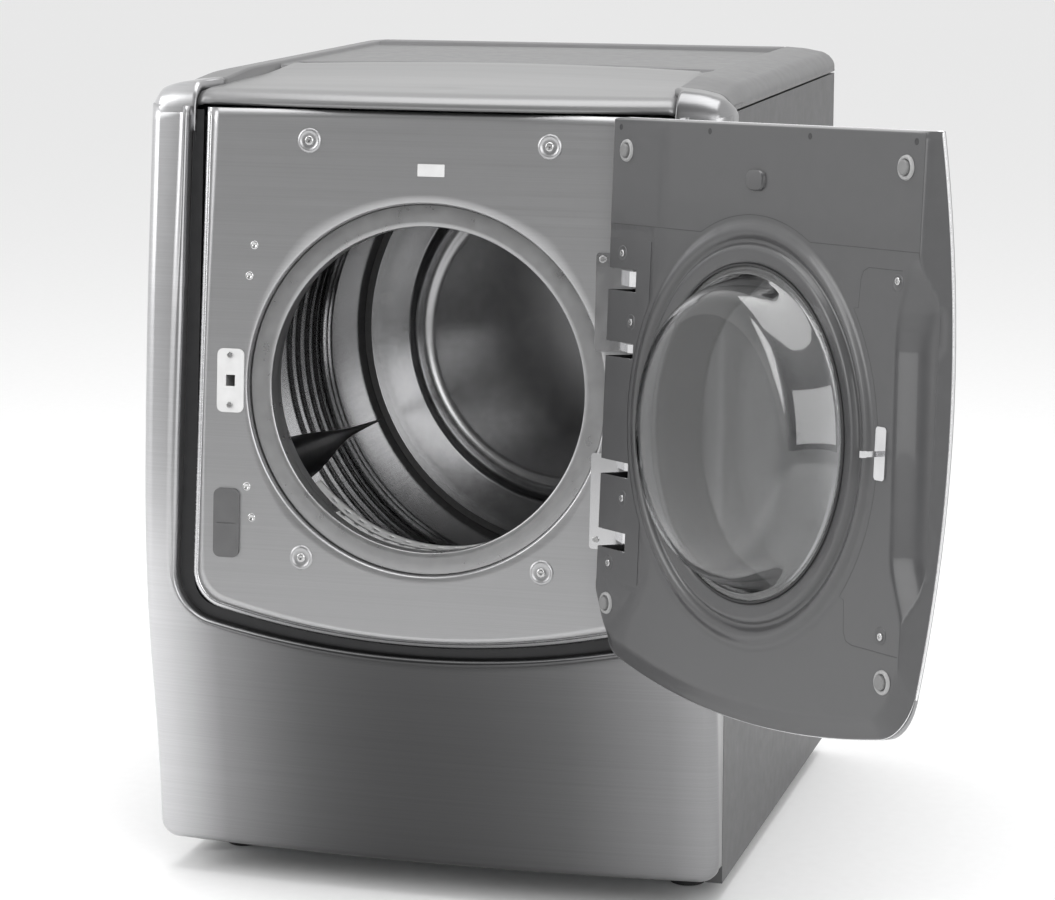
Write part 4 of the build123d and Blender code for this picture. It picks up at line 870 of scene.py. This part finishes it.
def make_door_details():
    """Boss at the top, screw wells, bumper collars, and painted shade for the small holes along the top edge."""
    shape = smooth_profile([(1.0, 0.3), (0.96, -2.2, 0.08), (0.86, -4.2, 0.2), (0.5, -4.6, 0.1), (0.01, -4.7)])
    rows = []
    for share, h in shape:
        row = []
        for i in range(64):
            a = 2 * math.pi * i / 64
            reach = (abs(math.cos(a)) ** 3 + abs(math.sin(a)) ** 3) ** (-1 / 3)
            row.append(on_door(17 * share * reach * math.cos(a), 275 + 12 * share * reach * math.sin(a),
                               LINER_N + h))
        rows.append(row)
    verts, faces = sheet_grid(rows, closed=True)
    add_piece("liner_boss", "door", "liner_plastic", "door_upper_liner", (), verts, faces)
    collar = [(13.2, 0.1), (12.6, -2.0), (11.2, -2.9), (9.4, -2.6), (8.2, -1.0), (8.0, 0.4)]
    for index, (u0, v0) in enumerate(((267, 298.7), (-267, 298.7), (271, -235), (-271, -235))):
        turned_piece("bumper_collar_%d" % index, "door", "grey_plastic", "door_bumpers", (), collar,
                     around(on_door, u0, v0, LINER_N), 40, False)
    well = [(9.5, 0.0), (8.6, -0.5), (7.4, -0.3), (5.4, 0.15), (4.4, 0.2)]
    cover_n = 6.4
    for index, (u0, v0) in enumerate(((267, 179), (243, 100), (246, -107), (270, -187), (-263, 180), (-264, -187))):
        turned_piece("screw_well_%d" % index, "door", "cover_plastic", "door_handle_cover", (), well,
                     around(on_door, u0, v0, cover_n), 32, False)
    # Painted shade: each small hole along the top edge is a shallow near-black dish standing in for the hole's dark
    # inside.
    hole = [(3.6, -0.1), (3.0, -0.35), (2.4, -0.2), (0.1, -0.15)]
    for index, u0 in enumerate((-282, -96, 96, 282)):
        turned_piece("edge_hole_%d" % index, "door", "dark_seam_and_hole_shade", "door_upper_liner", (), hole,
                     around(on_door, u0, 325.7, LINER_N), 24, False)


def make_seams():
    """Fine joints between the liner's mouldings."""
    gap, lift = 0.55, 6.9
    seam_v, bridge_r = 213, 241.0
    arc = math.asin((seam_v - WINDOW_V) / bridge_r)
    angles = np.linspace(math.pi - arc, arc, 40)
    bridge = [(bridge_r * math.cos(a), WINDOW_V + bridge_r * math.sin(a)) for a in angles]
    line = [(-296, seam_v)] + [(u, seam_v) for u in np.linspace(-290, bridge[0][0], 10)] + bridge
    line += [(u, seam_v) for u in np.linspace(bridge[-1][0], 290, 10)]
    swept_tube("seam_upper", "door", "dark_seam_and_hole_shade", [on_door(u, v, lift) for u, v in line], gap)
    curve = [(-270, 193), (-212, 193), (-203, 189), (-199, 180), (-197, 150)]
    for a in np.linspace(math.radians(141), math.radians(219), 26):
        curve.append((243 * math.cos(a), WINDOW_V + 243 * math.sin(a)))
    curve += [(-197, -160), (-199, -193), (-204, -202), (-214, -205), (-294, -205)]
    swept_tube("seam_latch_cover", "door", "dark_seam_and_hole_shade",
               [on_door(u, v, lift) for u, v in curve], gap)


def make_floor():
    size = 30.0
    rows = [[Vector((x, y, -0.0005)) for x in np.linspace(-size, size, 9)] for y in np.linspace(-size, size, 9)]
    verts, faces = sheet_grid(rows)
    mesh = bpy.data.meshes.new("floor")
    mesh.from_pydata([tuple(v) for v in verts], [], faces)
    floor = bpy.data.objects.new("floor", mesh)
    bpy.context.scene.collection.objects.link(floor)
    mesh.materials.append(finish_material("floor_pale", (.90, .90, .90), 0, .9, None, .01, bump=.0))


def add_area(name, place, aim, size, power, size_y=None):
    """A rectangular soft lamp at a place in metres, turned to its aim."""
    light = bpy.data.lights.new(name, "AREA")
    light.shape = "RECTANGLE"
    light.size = size
    light.size_y = size_y or size
    light.energy = power
    lamp = bpy.data.objects.new(name, light)
    lamp.location = place
    lamp.rotation_euler = (Vector(aim) - Vector(place)).to_track_quat("-Z", "Y").to_euler()
    bpy.context.scene.collection.objects.link(lamp)


def make_lights():
    """A pale studio: bright behind and to the left, darker in front, with soft lamps."""
    world = bpy.data.worlds.new("studio")
    bpy.context.scene.world = world
    world.use_nodes = True
    nodes, links = world.node_tree.nodes, world.node_tree.links
    background = nodes["Background"]
    background.inputs["Color"].default_value = (1, 1, 1, 1)
    coord = nodes.new("ShaderNodeTexCoord")
    split = nodes.new("ShaderNodeSeparateXYZ")
    links.new(coord.outputs["Generated"], split.inputs["Vector"])
    total = None
    for axis, low, high, dark, light in (("Y", -0.75, 0.30, 0.14, 1.05), ("X", -0.30, -0.95, 0.0, 0.75),
                                         ("X", 0.35, 0.95, 0.0, 0.30), ("Z", 0.30, 0.95, 0.0, 0.35)):
        span = nodes.new("ShaderNodeMapRange")
        span.interpolation_type = "SMOOTHSTEP"
        span.inputs["From Min"].default_value = low
        span.inputs["From Max"].default_value = high
        span.inputs["To Min"].default_value = dark
        span.inputs["To Max"].default_value = light
        links.new(split.outputs[axis], span.inputs["Value"])
        if total is None:
            total = span.outputs["Result"]
        else:
            add = nodes.new("ShaderNodeMath")
            add.operation = "ADD"
            links.new(total, add.inputs[0])
            links.new(span.outputs["Result"], add.inputs[1])
            total = add.outputs["Value"]
    limit = nodes.new("ShaderNodeMath")
    limit.operation = "MINIMUM"
    brightest = 1.05
    limit.inputs[1].default_value = brightest
    links.new(total, limit.inputs[0])
    links.new(limit.outputs["Value"], background.inputs["Strength"])
    add_area("key_left", (-3.4, -2.2, 2.4), (0, -0.3, 0.6), 1.8, 60, size_y=2.6)
    add_area("fill_right", (2.2, -3.6, 2.0), (0.0, 0.2, 0.55), 3.2, 75, size_y=2.4)
    add_area("top_soft", (0, -0.2, 3.4), (0, 0, 0.6), 2.6, 60)


def make_camera():
    data = bpy.data.cameras.new("camera")
    data.lens = 109.59
    data.sensor_width = 36.0
    data.sensor_fit = "HORIZONTAL"
    data.clip_end = 100
    camera = bpy.data.objects.new("camera", data)
    bpy.context.scene.collection.objects.link(camera)
    az, el = math.radians(15.68), math.radians(10.95)
    back = Vector((math.sin(az) * math.cos(el), -math.cos(az) * math.cos(el), math.sin(el)))
    camera.location = in_cabinet(1161.2, -3763.0, 1315.3)
    camera.rotation_euler = back.to_track_quat("Z", "Y").to_euler()
    bpy.context.scene.camera = camera
    bpy.context.scene.view_settings.view_transform = "Standard"


make_camera()
make_lights()
make_floor()
make_front_frame()
make_post_caps()
make_front_panel()
make_dimples()
make_opening_ring()
make_drum()
make_rear_wall()
make_lifters()
make_top_lip()
make_top_cover()
make_door_liner()
make_door_skin_edge()
make_bowl()
make_seams()
make_door_details()
make_grille()
